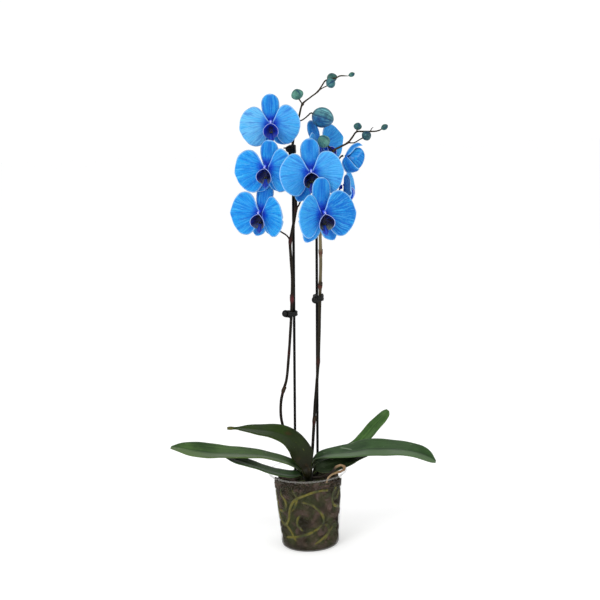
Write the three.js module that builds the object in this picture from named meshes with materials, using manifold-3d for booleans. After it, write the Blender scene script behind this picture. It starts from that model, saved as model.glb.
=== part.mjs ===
import * as THREE from "three";
import { mergeVertices } from "three/addons/utils/BufferGeometryUtils.js";
import Module from "manifold-3d";

// Two-spike moth orchid in a clear nursery pot. Millimetres, +Z up, origin at
// the centre of the pot's flat base, front towards -Y.

// ---- driving dimensions -------------------------------------------------
const POT_FOOT_R = 40, // flat foot
  POT_BASE_R = 45, // wall just above the rounded foot
  POT_BASE_Z = 8,
  POT_TOP_R = 54, // wall under the rim
  POT_TOP_Z = 110,
  POT_RIM_R = 60.5, // flared rim
  POT_H = 117.2,
  POT_WALL = 1.2;
const MEDIUM_TOP = 101,
  MEDIUM_GAP = 0.7;
const LEAF_T = 2.0,
  PETAL_T = 1.2,
  SEPAL_T = 1.1,
  LIP_T = 1.2;
const STAKE_R = 2.0,
  STEM_R = 2.1,
  ROOT_R = 2.3;
const CLEAR = 0.35; // air gap where one piece passes through another

const wasm = await Module();
wasm.setup();

const V = (x, y, z) => new THREE.Vector3(x, y, z);

// ---- solids ------------------------------------------------------------
function toSolid(geometry) {
  const bare = new THREE.BufferGeometry().setAttribute(
    "position",
    (geometry.index ? geometry.toNonIndexed() : geometry).getAttribute(
      "position",
    ),
  );
  const merged = mergeVertices(bare, 1e-4);
  const make = (tri) =>
    new wasm.Manifold(
      new wasm.Mesh({
        numProp: 3,
        vertProperties: new Float32Array(merged.attributes.position.array),
        triVerts: tri,
      }),
    );
  const tri = new Uint32Array(merged.index.array);
  const made = make(tri);
  if (made.volume() >= 0) return made;
  for (let i = 0; i < tri.length; i += 3)
    [tri[i + 1], tri[i + 2]] = [tri[i + 2], tri[i + 1]];
  return make(tri);
}

function toGeometry(solid) {
  const m = solid.getMesh();
  const pos = new Float32Array(m.numVert * 3);
  for (let i = 0; i < m.numVert; i++)
    for (let k = 0; k < 3; k++)
      pos[3 * i + k] = m.vertProperties[i * m.numProp + k];
  const g = new THREE.BufferGeometry();
  g.setAttribute("position", new THREE.BufferAttribute(pos, 3));
  g.setIndex(Array.from(m.triVerts));
  g.computeVertexNormals();
  return g;
}

const join = (list) => list.reduce((a, b) => a.add(b));

function indexed(points, faces) {
  const pos = new Float32Array(points.length * 3);
  points.forEach((p, i) => pos.set([p.x, p.y, p.z], 3 * i));
  const g = new THREE.BufferGeometry();
  g.setAttribute("position", new THREE.BufferAttribute(pos, 3));
  g.setIndex(faces);
  return g;
}

// A closed blade around a grid of points: rows run along it, columns across.
function blade(grid, thickness) {
  const n = grid.length,
    m = grid[0].length;
  const up = [],
    down = [];
  for (let i = 0; i < n; i++)
    for (let j = 0; j < m; j++) {
      const a = grid[Math.max(i - 1, 0)][j],
        b = grid[Math.min(i + 1, n - 1)][j];
      const c = grid[i][Math.max(j - 1, 0)],
        d = grid[i][Math.min(j + 1, m - 1)];
      const normal = V(0, 0, 0)
        .crossVectors(b.clone().sub(a), d.clone().sub(c))
        .normalize();
      const edge = j === 0 || j === m - 1 || i === n - 1 ? 0.7 : 1;
      const h = (edge * thickness) / 2;
      up.push(grid[i][j].clone().addScaledVector(normal, h));
      down.push(grid[i][j].clone().addScaledVector(normal, -h));
    }
  const N = n * m,
    faces = [];
  const quad = (a, b, c, d) => faces.push(a, b, c, a, c, d);
  const id = (i, j) => i * m + j;
  for (let i = 0; i < n - 1; i++)
    for (let j = 0; j < m - 1; j++) {
      quad(id(i, j), id(i + 1, j), id(i + 1, j + 1), id(i, j + 1));
      quad(
        N + id(i, j + 1),
        N + id(i + 1, j + 1),
        N + id(i + 1, j),
        N + id(i, j),
      );
    }
  for (let i = 0; i < n - 1; i++) {
    quad(id(i + 1, 0), id(i, 0), N + id(i, 0), N + id(i + 1, 0));
    quad(
      id(i, m - 1),
      id(i + 1, m - 1),
      N + id(i + 1, m - 1),
      N + id(i, m - 1),
    );
  }
  for (let j = 0; j < m - 1; j++) {
    quad(id(0, j), id(0, j + 1), N + id(0, j + 1), N + id(0, j));
    quad(
      id(n - 1, j + 1),
      id(n - 1, j),
      N + id(n - 1, j),
      N + id(n - 1, j + 1),
    );
  }
  return toSolid(indexed([...up, ...down], faces));
}

// A closed round bar through points with a radius at each one.
function bar(points, radii, sides, steps) {
  const curve = new THREE.CatmullRomCurve3(points, false, "centripetal");
  const n = steps || points.length - 1,
    rings = [],
    centres = [];
  let side = null;
  for (let i = 0; i <= n; i++) {
    const u = i / n,
      p = curve.getPoint(u),
      t = curve.getTangent(u).normalize();
    if (!side) {
      side = Math.abs(t.z) < 0.9 ? V(0, 0, 1) : V(0, -1, 0);
    }
    side = side.clone().addScaledVector(t, -side.dot(t)).normalize();
    const other = V(0, 0, 0).crossVectors(t, side);
    const f = u * (radii.length - 1),
      k = Math.min(Math.floor(f), radii.length - 2);
    const r = radii[k] + (radii[k + 1] - radii[k]) * (f - k);
    centres.push(p);
    const ring = [];
    for (let s = 0; s < sides; s++) {
      const a = (2 * Math.PI * s) / sides;
      ring.push(
        p
          .clone()
          .addScaledVector(side, r * Math.cos(a))
          .addScaledVector(other, r * Math.sin(a)),
      );
    }
    rings.push(ring);
  }
  return loft(rings, centres[0], centres[n]);
}

// Rings of equal count joined into a closed skin with a point at each end.
function loft(rings, first, last) {
  const m = rings[0].length,
    points = rings.flat(),
    faces = [];
  for (let i = 0; i < rings.length - 1; i++)
    for (let j = 0; j < m; j++) {
      const a = i * m + j,
        b = i * m + ((j + 1) % m);
      faces.push(a, b, b + m, a, b + m, a + m);
    }
  const p0 = points.length;
  points.push(first, last);
  for (let j = 0; j < m; j++) {
    faces.push(p0, (j + 1) % m, j);
    const base = (rings.length - 1) * m;
    faces.push(p0 + 1, base + j, base + ((j + 1) % m));
  }
  return toSolid(indexed(points, faces));
}

function lathe(profile, segments) {
  const g = new THREE.LatheGeometry(
    profile.map(([r, z]) => new THREE.Vector2(r, z)),
    segments,
  );
  g.rotateX(Math.PI / 2);
  return toSolid(g);
}

// ---- materials ---------------------------------------------------------
const paint = (color, roughness, extra = {}) =>
  new THREE.MeshStandardMaterial({ color, roughness, metalness: 0, ...extra });
const MAT = {
  pot: paint(0xaeb0aa, 0.25, { transparent: true, opacity: 0.45 }),
  medium: paint(0x4b3d35, 0.95),
  root: paint(0x77803f, 0.6),
  dryRoot: paint(0xb08a68, 0.8),
  crown: paint(0x3c3a22, 0.6),
  leaf: paint(0x42612f, 0.4),
  leafDark: paint(0x2f4422, 0.45),
  stem: paint(0x4a3f2a, 0.55),
  stake: paint(0x14120f, 0.5),
  clip: paint(0x101010, 0.4),
  petal: paint(0x3d97ea, 0.6),
  sepal: paint(0x3f93e2, 0.6),
  lip: paint(0x10206b, 0.5),
  column: paint(0xb9bff0, 0.5),
  bud: paint(0x4f9088, 0.6),
};
const root = new THREE.Group();
root.name = "moth_orchid_in_pot";
function add(name, solid, material) {
  const mesh = new THREE.Mesh(toGeometry(solid), material);
  mesh.name = name;
  root.add(mesh);
  return solid;
}

// ---- measured tables ---------------------------------------------------
const STAKE_1 = [[-19.1, 13.0, 100.2], [-0.4, 3.0, 620.6]],
  STAKE_2 = [[15.8, 19.0, 109.6], [29.1, 2.0, 484.2]];
const LEAF_L1 = [
  [[-7.9, 5.0, 125.5], [-14.3, -9.0, 121.4]],
  [[-28.0, 9.0, 135.9], [-30.9, -15.0, 132.3]],
  [[-59.4, 14.0, 145.7], [-63.4, -23.0, 144.8]],
  [[-88.1, 18.0, 151.1], [-89.4, -29.0, 149.7]],
  [[-115.7, 21.0, 155.1], [-123.0, -33.0, 152.8]],
  [[-142.9, 21.0, 159.9], [-151.6, -33.0, 153.3]],
  [[-168.0, 16.0, 164.6], [-175.8, -29.0, 157.1]],
  [[-189.8, 8.0, 167.1], [-195.9, -20.0, 161.8]],
  [[-206.7, 0.0, 163.9], [-207.5, -8.0, 162.5]],
];
const LEAF_L2 = [
  [[-9.9, -3.0, 116.9], [-10.9, -19.0, 114.2]],
  [[-26.6, -3.0, 119.1], [-25.3, -32.0, 115.7]],
  [[-47.8, -2.0, 122.7], [-50.1, -35.0, 123.0]],
  [[-68.0, 0.0, 130.0], [-74.4, -33.0, 131.5]],
  [[-89.7, 3.0, 138.0], [-95.4, -28.0, 137.1]],
  [[-108.5, 6.0, 144.0], [-114.5, -20.0, 141.9]],
  [[-131.4, 8.0, 149.2], [-132.5, 0.0, 148.5]],
];
const LEAF_L3 = [
  [[5.9, -11.0, 112.4], [-5.6, -12.0, 111.2]],
  [[7.4, -10.6, 128.9], [-10.4, -14.5, 123.8]],
  [[10.0, -4.0, 146.6], [-21.9, -19.0, 140.3]],
  [[-2.3, 4.0, 167.3], [-26.7, -26.0, 155.7]],
  [[-14.8, 6.0, 179.6], [-35.0, -31.0, 168.5]],
  [[-35.8, 6.0, 189.0], [-53.9, -34.0, 180.8]],
  [[-61.6, 4.0, 191.8], [-78.0, -32.0, 187.2]],
  [[-85.8, -2.0, 193.2], [-96.8, -24.0, 190.1]],
  [[-105.4, -10.0, 192.2], [-106.8, -15.0, 189.8]],
  [[-113.6, -11.5, 193.6], [-113.9, -15.5, 189.7]],
  [[-118.9, -12.0, 193.1], [-118.6, -15.0, 190.4]],
];
const LEAF_R1 = [
  [[10.0, 2.0, 136.3], [11.0, -8.0, 134.3]],
  [[16.5, 9.0, 141.2], [19.9, -15.0, 139.3]],
  [[28.5, 16.0, 144.3], [35.0, -21.0, 141.5]],
  [[47.4, 22.0, 147.0], [57.6, -26.0, 142.7]],
  [[67.8, 26.0, 150.0], [76.2, -30.0, 143.8]],
  [[92.9, 28.0, 154.4], [95.2, -31.0, 145.4]],
  [[122.5, 28.0, 153.4], [120.8, -31.0, 144.7]],
  [[148.2, 26.0, 150.1], [146.6, -29.0, 142.3]],
  [[168.9, 20.0, 145.8], [163.4, -25.0, 137.3]],
  [[182.3, 12.0, 141.6], [179.0, -19.0, 129.9]],
  [[190.7, 4.0, 136.3], [190.1, -13.0, 123.7]],
  [[197.8, -3.0, 123.5], [196.4, -8.0, 121.1]],
];
const LEAF_R2 = [
  [[8.4, 8.0, 127.8], [11.2, 0.0, 124.6]],
  [[21.9, 16.0, 134.1], [30.8, 5.0, 130.5]],
  [[47.5, 35.0, 137.5], [59.3, 21.0, 134.1]],
  [[69.6, 48.0, 144.4], [86.2, 28.0, 140.7]],
  [[83.9, 58.0, 154.2], [104.6, 38.0, 154.5]],
  [[99.5, 65.0, 168.8], [116.6, 47.0, 165.8]],
  [[113.2, 69.0, 180.0], [127.3, 55.0, 174.3]],
  [[123.0, 70.0, 186.8], [132.6, 61.0, 181.3]],
  [[129.0, 69.0, 188.9], [132.9, 66.0, 186.1]],
];
const LEAF_R3 = [
  [[12.0, -2.0, 125.0], [12.2, -11.0, 116.9]],
  [[22.9, -4.0, 131.9], [24.9, -24.0, 118.1]],
  [[41.5, -1.0, 136.1], [46.2, -28.0, 122.5]],
  [[58.7, 3.0, 138.6], [63.1, -26.0, 128.2]],
  [[75.5, 2.0, 138.8], [79.1, -20.0, 134.9]],
  [[91.3, -3.0, 138.8], [92.3, -11.0, 137.2]],
];
const SPIKE_1 = [
  [-12.3, 6.2, 130.9],
  [-18.0, 6.8, 147.0],
  [-25.0, 9.5, 162.4],
  [-32.9, 13.5, 179.1],
  [-36.7, 14.0, 196.6],
  [-35.8, 12.0, 222.4],
  [-31.7, 11.0, 239.8],
  [-26.0, 9.5, 257.2],
  [-21.1, 7.0, 291.9],
  [-17.1, 4.5, 327.8],
  [-13.8, 2.2, 361.9],
  [-12.1, 1.5, 382.6],
  [-10.3, 1.0, 412.2],
  [-10.8, 0.0, 445.6],
  [-10.8, -0.5, 469.8],
  [-6.9, -1.5, 487.7],
  [-2.7, -3.0, 505.5],
  [-0.1, -4.0, 520.4],
  [0.0, -5.0, 547.1],
  [-1.1, -6.0, 576.6],
  [-1.4, -6.0, 605.8],
  [2.2, -7.0, 627.6],
  [7.8, -8.0, 644.7],
  [11.2, -8.5, 657.6],
  [16.2, -9.0, 671.9],
  [27.3, -9.5, 680.5],
  [38.8, -10.0, 688.6],
  [45.2, -10.0, 696.8],
  [50.6, -10.0, 703.8],
  [57.3, -10.0, 705.5],
  [65.5, -10.0, 706.9],
  [72.1, -10.0, 709.6],
  [83.3, -10.0, 709.1],
];
const SPIKE_1_R = [2.3, 2.3, 2.3, 2.3, 2.3, 2.3, 2.9, 2.2, 2.2, 2.2, 2.2, 2.8, 2.2, 2.2, 2.2, 2.2, 2.18, 2.11, 1.99, 1.86, 1.72, 1.63, 1.55, 1.49, 1.34, 1.27, 1.19, 1.12, 1.46, 1.04, 1.03, 1.9, 0.55];
const SPIKE_2 = [
  [6.6, 10.0, 130.5],
  [8.8, 11.0, 142.9],
  [11.4, 12.0, 168.0],
  [13.9, 12.0, 194.9],
  [16.0, 10.5, 217.3],
  [19.6, 8.0, 247.7],
  [23.6, 5.0, 284.1],
  [26.6, 2.5, 326.3],
  [29.3, 0.5, 372.5],
  [31.1, -1.0, 402.1],
  [33.1, -2.5, 433.5],
  [33.8, -7.0, 464.2],
  [34.1, -14.0, 484.4],
  [36.9, -22.0, 510.4],
  [42.4, -25.0, 539.8],
  [49.3, -24.0, 568.5],
  [53.8, -20.0, 585.4],
  [57.9, -17.0, 602.5],
  [67.9, -16.0, 607.8],
  [79.9, -15.0, 613.7],
  [86.3, -15.0, 621.0],
  [92.5, -15.0, 628.4],
  [102.2, -15.0, 628.8],
  [113.2, -15.0, 628.3],
  [121.0, -15.0, 628.3],
  [127.2, -15.0, 629.7],
];
const SPIKE_2_R = [2.4, 2.4, 2.4, 2.4, 2.4, 2.4, 2.4, 2.4, 2.4, 3.1, 2.4, 2.4, 2.31, 2.16, 1.98, 1.81, 1.71, 1.6, 1.53, 1.46, 1.39, 1.32, 1.25, 1.18, 1.11, 1.04];
const PEDICELS_1 = {
  A: [[3.7, -7.5, 632.6], [-9.4, -9.0, 639.0], [-22.3, -13.0, 644.1]],
  B: [[-1.5, -6.0, 573.7], [-15.2, -11.0, 576.1], [-28.0, -22.0, 580.0]],
  C: [[-10.6, -0.8, 471.3], [-14.8, -4.0, 479.4], [-26.3, -12.0, 489.1], [-40.3, -22.0, 504.9]],
  D: [[-0.2, -4.0, 518.9], [4.0, -9.0, 524.4], [11.1, -24.0, 542.5], [19.8, -42.0, 565.5]],
  F: [[-1.0, -6.0, 581.0], [8.8, -3.0, 586.2], [21.0, 2.0, 595.6], [30.9, 7.0, 602.2]],
  J: [[8.7, -8.0, 646.9], [15.8, -8.5, 649.3], [23.3, -9.0, 654.8], [28.0, -9.0, 658.5]],
  K1: [[15.9, -9.0, 671.5], [13.9, -9.0, 675.0], [12.1, -9.0, 677.7]],
  K3: [[39.1, -10.0, 688.8], [45.1, -12.5, 693.1], [51.0, -15.5, 695.7]],
};
const PEDICELS_2 = {
  E: [[35.1, -18.5, 496.8], [35.9, -34.0, 501.5], [36.5, -56.0, 509.8]],
  G: [[46.8, -24.3, 558.5], [52.7, -17.0, 555.4], [59.4, -8.0, 551.4]],
  H: [[53.7, -20.0, 584.7], [61.0, -22.0, 586.7], [65.7, -26.0, 591.4], [68.9, -29.5, 595.3], [71.5, -30.0, 595.9]],
  L1: [[57.7, -17.0, 601.8], [54.3, -19.0, 606.2], [51.2, -20.0, 609.6]],
  L2: [[92.2, -15.0, 627.8], [93.3, -15.0, 630.3]],
  L3: [[80.1, -15.0, 613.6], [88.1, -18.0, 613.0], [95.2, -23.0, 617.0], [98.0, -24.0, 618.5]],
  hook: [[112.9, -15.0, 628.3], [114.8, -15.0, 632.3], [117.2, -15.0, 634.2]],
  L4: [[125.7, -15.0, 629.2], [127.7, -15.0, 630.2]],
};
const FLOWERS = [
  { id: "a", at: [-30.6, -20.0, 646.9], yaw: -3, pitch: -3, roll: 0, k: 44.5, dorsal: -1, up: 0.93, down: 0.86, spread: 33, bend: 5, fall: 4, left: [48.33, 17.58, -4.69, 0.9], right: [44.25, 15.08, -1.65, 0.97] },
  { id: "b", at: [-39.4, -42.0, 584.2], yaw: -18, pitch: -4, roll: 0, k: 46, dorsal: 9, up: 0.87, down: 0.86, spread: 27, bend: -1, fall: 0.5, left: [48.61, 15.77, -3.9, 0.97], right: [43.5, 14, -5, 1.1] },
  { id: "c", at: [-50.8, -36.0, 519.1], yaw: -24, pitch: -7, roll: 0, k: 45, dorsal: 9, up: 0.88, down: 0.9, spread: 24, bend: 12, fall: 4, left: [46.7, 17.75, 5.99, 1.05], right: [42.5, 21, -7, 1.08] },
  { id: "d", at: [23.5, -62.0, 577.2], yaw: 2, pitch: -4, roll: 0, k: 47, dorsal: 0, up: 1.0, down: 1.02, spread: 24, bend: 4, fall: 4, left: [47.43, 16.21, -2.45, 0.98], right: [48.58, 17.03, 2.99, 0.95] },
  { id: "e", at: [37.1, -82.0, 519.3], yaw: 22, pitch: -5, roll: 0, k: 48.5, dorsal: 2, up: 1.05, down: 0.98, spread: 28, bend: 2, fall: 4, left: [48.95, 25.83, 1.4, 0.96], right: [49.11, 23.77, 4.99, 1.02] },
  { id: "f", at: [41.4, 4.0, 607.8], yaw: 55, pitch: 2, roll: 13, k: 45, dorsal: -4, up: 0.92, down: 0.85, spread: 30, bend: 5, fall: 4, left: [44, 12, 7, 0.92], right: [45.5, 17.43, 4.5, 0.94] },
  { id: "g", at: [70.3, -2.0, 548.2], yaw: 84, pitch: -4, roll: 0, k: 45, dorsal: 0, up: 0.85, down: 0.85, spread: 28, bend: 5, fall: 4, left: [44, 24, -4, 0.8], right: [42.5, 25, -6, 1.0] },
];
const BUDS = [
  { id: "j", foot: [29.43, -9.0, 656.98], axis: [0.938, 0.0, -0.347], length: 32.8, radius: 14.8 },
  { id: "k1", foot: [11.57, -9.0, 678.63], axis: [-0.369, 0.0, 0.929], length: 15.7, radius: 9.0 },
  { id: "k2", foot: [53.24, -1.5, 705.79], axis: [0.97, 0.0, 0.244], length: 15.2, radius: 6.7 },
  { id: "k3", foot: [52.49, -17.0, 696.0], axis: [0.816, 0.0, 0.578], length: 13.5, radius: 7.2 },
  { id: "k5", foot: [84.43, -10.0, 709.33], axis: [0.933, 0.0, 0.36], length: 9.4, radius: 3.3 },
  { id: "l1", foot: [49.79, -21.0, 609.68], axis: [-0.612, 0.0, 0.791], length: 19.0, radius: 9.3 },
  { id: "l2", foot: [93.57, -15.0, 631.24], axis: [0.194, 0.0, 0.981], length: 10.8, radius: 6.0 },
  { id: "l3", foot: [100.51, -24.0, 619.56], axis: [0.883, 0.0, 0.47], length: 14.0, radius: 7.1 },
  { id: "l4", foot: [129.0, -15.0, 630.98], axis: [0.85, 0.0, 0.527], length: 10.8, radius: 4.2 },
];
// half-open flower: knot, outline of its closed petals, and three sepals as rows of two edges and a bulge
const HALF_OPEN = {
  knot: [75.4, -30.3, 595.3],
  outline: [
    [79.6, -28.0, 593.0],
    [77.1, -28.0, 587.3],
    [77.1, -28.0, 580.1],
    [81.0, -28.0, 574.4],
    [87.3, -28.0, 573.3],
    [93.5, -28.0, 576.2],
    [98.9, -28.0, 582.0],
    [102.4, -28.0, 590.5],
    [102.1, -28.0, 598.1],
    [98.3, -28.0, 604.3],
    [92.5, -28.0, 606.3],
    [86.3, -28.0, 602.8],
    [81.8, -28.0, 597.8],
],
  left: [
    [[74.1, -30.5, 594.8], [76.6, -31.5, 595.1], 0.2],
    [[70.9, -30.0, 590.9], [79.3, -37.0, 592.4], 1.5],
    [[69.3, -30.0, 585.5], [82.7, -38.5, 588.4], 3.0],
    [[71.0, -30.0, 578.8], [86.0, -38.5, 584.2], 3.5],
    [[75.5, -31.0, 571.4], [89.4, -38.0, 580.1], 3.0],
    [[83.5, -32.5, 570.9], [92.2, -37.0, 577.5], 1.6],
    [[91.4, -33.5, 572.9], [94.1, -35.5, 575.7], 0.4],
],
  top: [
    [[74.4, -30.5, 596.3], [76.4, -31.0, 595.6], 0.2],
    [[76.0, -31.0, 600.2], [80.6, -35.0, 597.4], 1.0],
    [[79.3, -32.0, 605.3], [85.3, -36.5, 601.9], 1.4],
    [[83.2, -33.0, 609.8], [88.9, -37.0, 605.8], 1.4],
    [[88.2, -34.0, 613.1], [93.3, -37.0, 608.2], 1.2],
    [[93.9, -35.0, 614.1], [96.8, -37.0, 609.2], 0.8],
    [[99.5, -36.0, 610.7], [99.3, -36.5, 609.3], 0.1],
],
  back: [
    [[74.8, -29.0, 596.4], [74.7, -29.0, 594.1], 0.0],
    [[76.8, -24.0, 599.5], [72.7, -24.0, 589.3], -1.0],
    [[83.6, -18.0, 603.2], [74.6, -18.0, 578.3], -3.0],
    [[93.4, -16.5, 604.7], [82.0, -16.5, 572.3], -3.5],
    [[100.4, -18.0, 598.7], [92.2, -18.0, 574.6], -2.5],
    [[102.2, -22.0, 589.9], [99.0, -22.0, 582.5], -0.6],
],
};
const CLIPS = [
  { at: [-12.6, 5.2, 360.8], rx: 6.8, ry: 7.8, height: 7, lobe: [-10.0, -2.5, 0.5], lobeR: 5.4, tabs: [[[-9.6, -3, 4.4], [-1.8, -8.2, 5.2], 1.3, 1.1], [[-9.6, -3, -4.2], [-2.2, -8.2, -5.2], 1.4, 1.1]] },
  { at: [27.7, 3.0, 383.6], rx: 6.8, ry: 7.6, height: 9, lobe: [-4.7, -9.4, -1.6], lobeR: 5.6, tabs: [[[4.4, -7.6, 3], [6.4, -8, 7.0], 1.6, 1.2], [[-3.4, -8.4, 3], [-1.4, -9, 6.6], 1.8, 1.3]] },
  { at: [-1.6, -1.4, 607.0], rx: 4.2, ry: 8.4, height: 12, lobe: [-5.0, -10.2, 0.8], lobeR: 5.0, tabs: [[[-6, -10, 1.4], [-12.9, -10.6, 2.6], 3.2, 0.8], [[-3, -10.6, -2], [-4.0, -11.2, -9.8], 3.6, 0.9], [[-2, -10.6, 4], [1.2, -11.2, 8.2], 2.6, 1.4]] },
];
// degrees from the front, height, depth behind the wall row
const ROOTS = [
  [[-172, 92, 0], [-140, 84, 0], [-108, 70, 0], [-80, 50, 0], [-58, 38, 0], [-46, 47, 0], [-37, 70, 0], [-25, 84, 0], [-9, 91, 0], [13, 97, 0], [36, 96, 0]],
  [[58, 96, 0], [47, 84, 0], [52, 70, 0], [70, 62, 0], [92, 58, 0], [120, 66, 0], [150, 60, 0], [176, 40, 0], [205, 28, 0], [232, 24, 0]],
  [[-57, 97, 0], [-58, 88, 0], [-47, 79, 0], [-50, 66, 0], [-66, 60, 0], [-86, 74, 2], [-108, 92, 5.6], [-136, 66, 5.6], [-160, 36, 5.6], [-132, 16, 5.6], [-98, 14, 1], [-50, 20, 0], [-12, 27, 0], [14, 36, 0], [28, 48, 0], [20, 64, 0], [4, 77, 0], [-11, 81, 0]],
];
const AERIAL = [
  [7.2, -11.0, 107.6],
  [21.7, -22.0, 112.1],
  [36.1, -33.0, 121.3],
  [43.5, -35.5, 130.3],
  [50.0, -36.0, 133.0],
  [55.2, -36.5, 130.8],
  [55.4, -36.5, 126.5],
  [49.6, -37.0, 123.6],
  [42.8, -38.0, 122.1],
  [35.1, -39.5, 119.2],
  [29.7, -40.3, 113.7],
  [28.0, -40.5, 107.6],
];
const AERIAL_R = [1.6, 2.4, 2.5, 2.3, 2.7, 2.6, 2.3, 1.9, 1.3];

// ---- stakes ------------------------------------------------------------
const pts = (list) => list.map((p) => V(...p));
function straight(a, b, r, sides) {
  return bar([V(...a), V(...b)], [r, r], sides, 1);
}
const extend = (a, b, z) => {
  const f = (z - a[2]) / (b[2] - a[2]);
  return [a[0] + (b[0] - a[0]) * f, a[1] + (b[1] - a[1]) * f, z];
};
const STAKE_FOOT_Z = 22;
const stakes = [STAKE_1, STAKE_2].map(([a, b]) => [
  extend(a, b, STAKE_FOOT_Z),
  b,
]);
stakes.forEach(([a, b], i) =>
  add("stake_" + (i + 1), straight(a, b, STAKE_R, 10), MAT.stake),
);

// ---- crown -------------------------------------------------------------
const CROWN = [
  [0, -2, 90],
  [0, -2, 100],
  [0.5, -2.5, 110],
  [0.8, -3, 120],
  [1, -3.5, 127],
  [1, -3.8, 130],
];
const CROWN_R = [5.5, 6.5, 7.2, 6.8, 5.4, 2.5];
add("crown", bar(pts(CROWN), CROWN_R, 10, 7), MAT.crown);

// ---- leaves ------------------------------------------------------------
// Each row of a leaf is its far edge and its near edge; the middle hangs lower.
function leafSolid(rows, fold, steps) {
  const far = new THREE.CatmullRomCurve3(pts(rows.map((r) => r[0])));
  const near = new THREE.CatmullRomCurve3(pts(rows.map((r) => r[1])));
  const grid = [];
  for (let i = 0; i <= steps; i++) {
    const u = i / steps,
      a = far.getPoint(u),
      b = near.getPoint(u);
    const a2 = far.getPoint(Math.min(u + 0.01, 1)),
      a1 = far.getPoint(Math.max(u - 0.01, 0));
    const b2 = near.getPoint(Math.min(u + 0.01, 1)),
      b1 = near.getPoint(Math.max(u - 0.01, 0));
    const along = a2.sub(a1).add(b2.sub(b1)).normalize();
    const across = b.clone().sub(a);
    const w = across.length();
    let up = V(0, 0, 0).crossVectors(along, across).normalize();
    if (up.z < 0) up.negate();
    const row = [];
    for (const s of [0, 0.25, 0.5, 0.75, 1]) {
      const sag = fold * w * (1 - Math.pow(Math.abs(2 * s - 1), 1.3));
      row.push(a.clone().lerp(b, s).addScaledVector(up, -sag));
    }
    grid.push(row);
  }
  return blade(grid, LEAF_T);
}
for (const [name, rows, fold, material] of [
  ["leaf_l1", LEAF_L1, 0.09, MAT.leaf],
  ["leaf_l2", LEAF_L2, 0.08, MAT.leafDark],
  ["leaf_l3", LEAF_L3, 0.08, MAT.leafDark],
  ["leaf_r1", LEAF_R1, 0.08, MAT.leaf],
  ["leaf_r2", LEAF_R2, 0.1, MAT.leaf],
  ["leaf_r3", LEAF_R3, 0.08, MAT.leafDark],
])
  add(name, leafSolid(rows, fold, rows.length + 1), material);

// ---- flower stems ------------------------------------------------------
const branch = (list, r0, r1, steps) =>
  bar(pts(list), [r0, r1], 5, steps || Math.max(2, list.length - 1));
function spike(main, radii, branches) {
  return join([
    bar(pts(main), radii, 6, main.length - 1),
    ...branches.map(([list, r0, r1]) => branch(list, r0, r1)),
  ]);
}

// ---- flowers -----------------------------------------------------------
// Outline of the right petal in half-flower widths, base to tip.
const PETAL_UP = [
  [0.03, 0.02],
  [0.115, 0.16],
  [0.185, 0.32],
  [0.265, 0.47],
  [0.37, 0.58],
  [0.53, 0.62],
  [0.69, 0.56],
  [0.84, 0.42],
  [0.95, 0.22],
  [1.0, 0.02],
];
const PETAL_LOW = [
  [0.03, -0.06],
  [0.1, -0.22],
  [0.18, -0.42],
  [0.29, -0.6],
  [0.44, -0.705],
  [0.61, -0.69],
  [0.78, -0.57],
  [0.92, -0.36],
  [0.995, -0.12],
];
const DORSAL_W = [
  [0, 0.13],
  [0.12, 0.18],
  [0.25, 0.235],
  [0.4, 0.275],
  [0.55, 0.295],
  [0.7, 0.295],
  [0.82, 0.262],
  [0.92, 0.19],
  [0.98, 0.1],
  [1, 0.04],
];
const LATERAL_W = [
  [0, 0.07],
  [0.2, 0.17],
  [0.4, 0.24],
  [0.6, 0.27],
  [0.75, 0.25],
  [0.88, 0.17],
  [0.96, 0.09],
  [1, 0.03],
];
const SEPAL_Z = -4.4,
  PETAL_Z = 0.5,
  BACK_Z = -5.9; // where the pedicel ends behind the flower

const lerpTable = (table, t) => {
  for (let i = 1; i < table.length; i++)
    if (t <= table[i][0]) {
      const [a, b] = [table[i - 1], table[i]];
      return a[1] + ((b[1] - a[1]) * (t - a[0])) / (b[0] - a[0]);
    }
  return table[table.length - 1][1];
};

// Local frame of a flower: x to the viewer's right, y up, z the way it faces.
function flowerFrame(f) {
  const a = THREE.MathUtils.degToRad(f.yaw),
    p = THREE.MathUtils.degToRad(f.pitch),
    r = THREE.MathUtils.degToRad(f.roll);
  const n = V(
    Math.sin(a) * Math.cos(p),
    -Math.cos(a) * Math.cos(p),
    Math.sin(p),
  );
  const u0 = V(Math.cos(a), Math.sin(a), 0);
  const v0 = V(0, 0, 0).crossVectors(n, u0);
  const u = u0
    .clone()
    .multiplyScalar(Math.cos(r))
    .addScaledVector(v0, Math.sin(r));
  const v = v0
    .clone()
    .multiplyScalar(Math.cos(r))
    .addScaledVector(u0, -Math.sin(r));
  const c = V(...f.at);
  return (x, y, z) =>
    c
      .clone()
      .addScaledVector(u, x)
      .addScaledVector(v, y)
      .addScaledVector(n, z);
}

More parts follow.
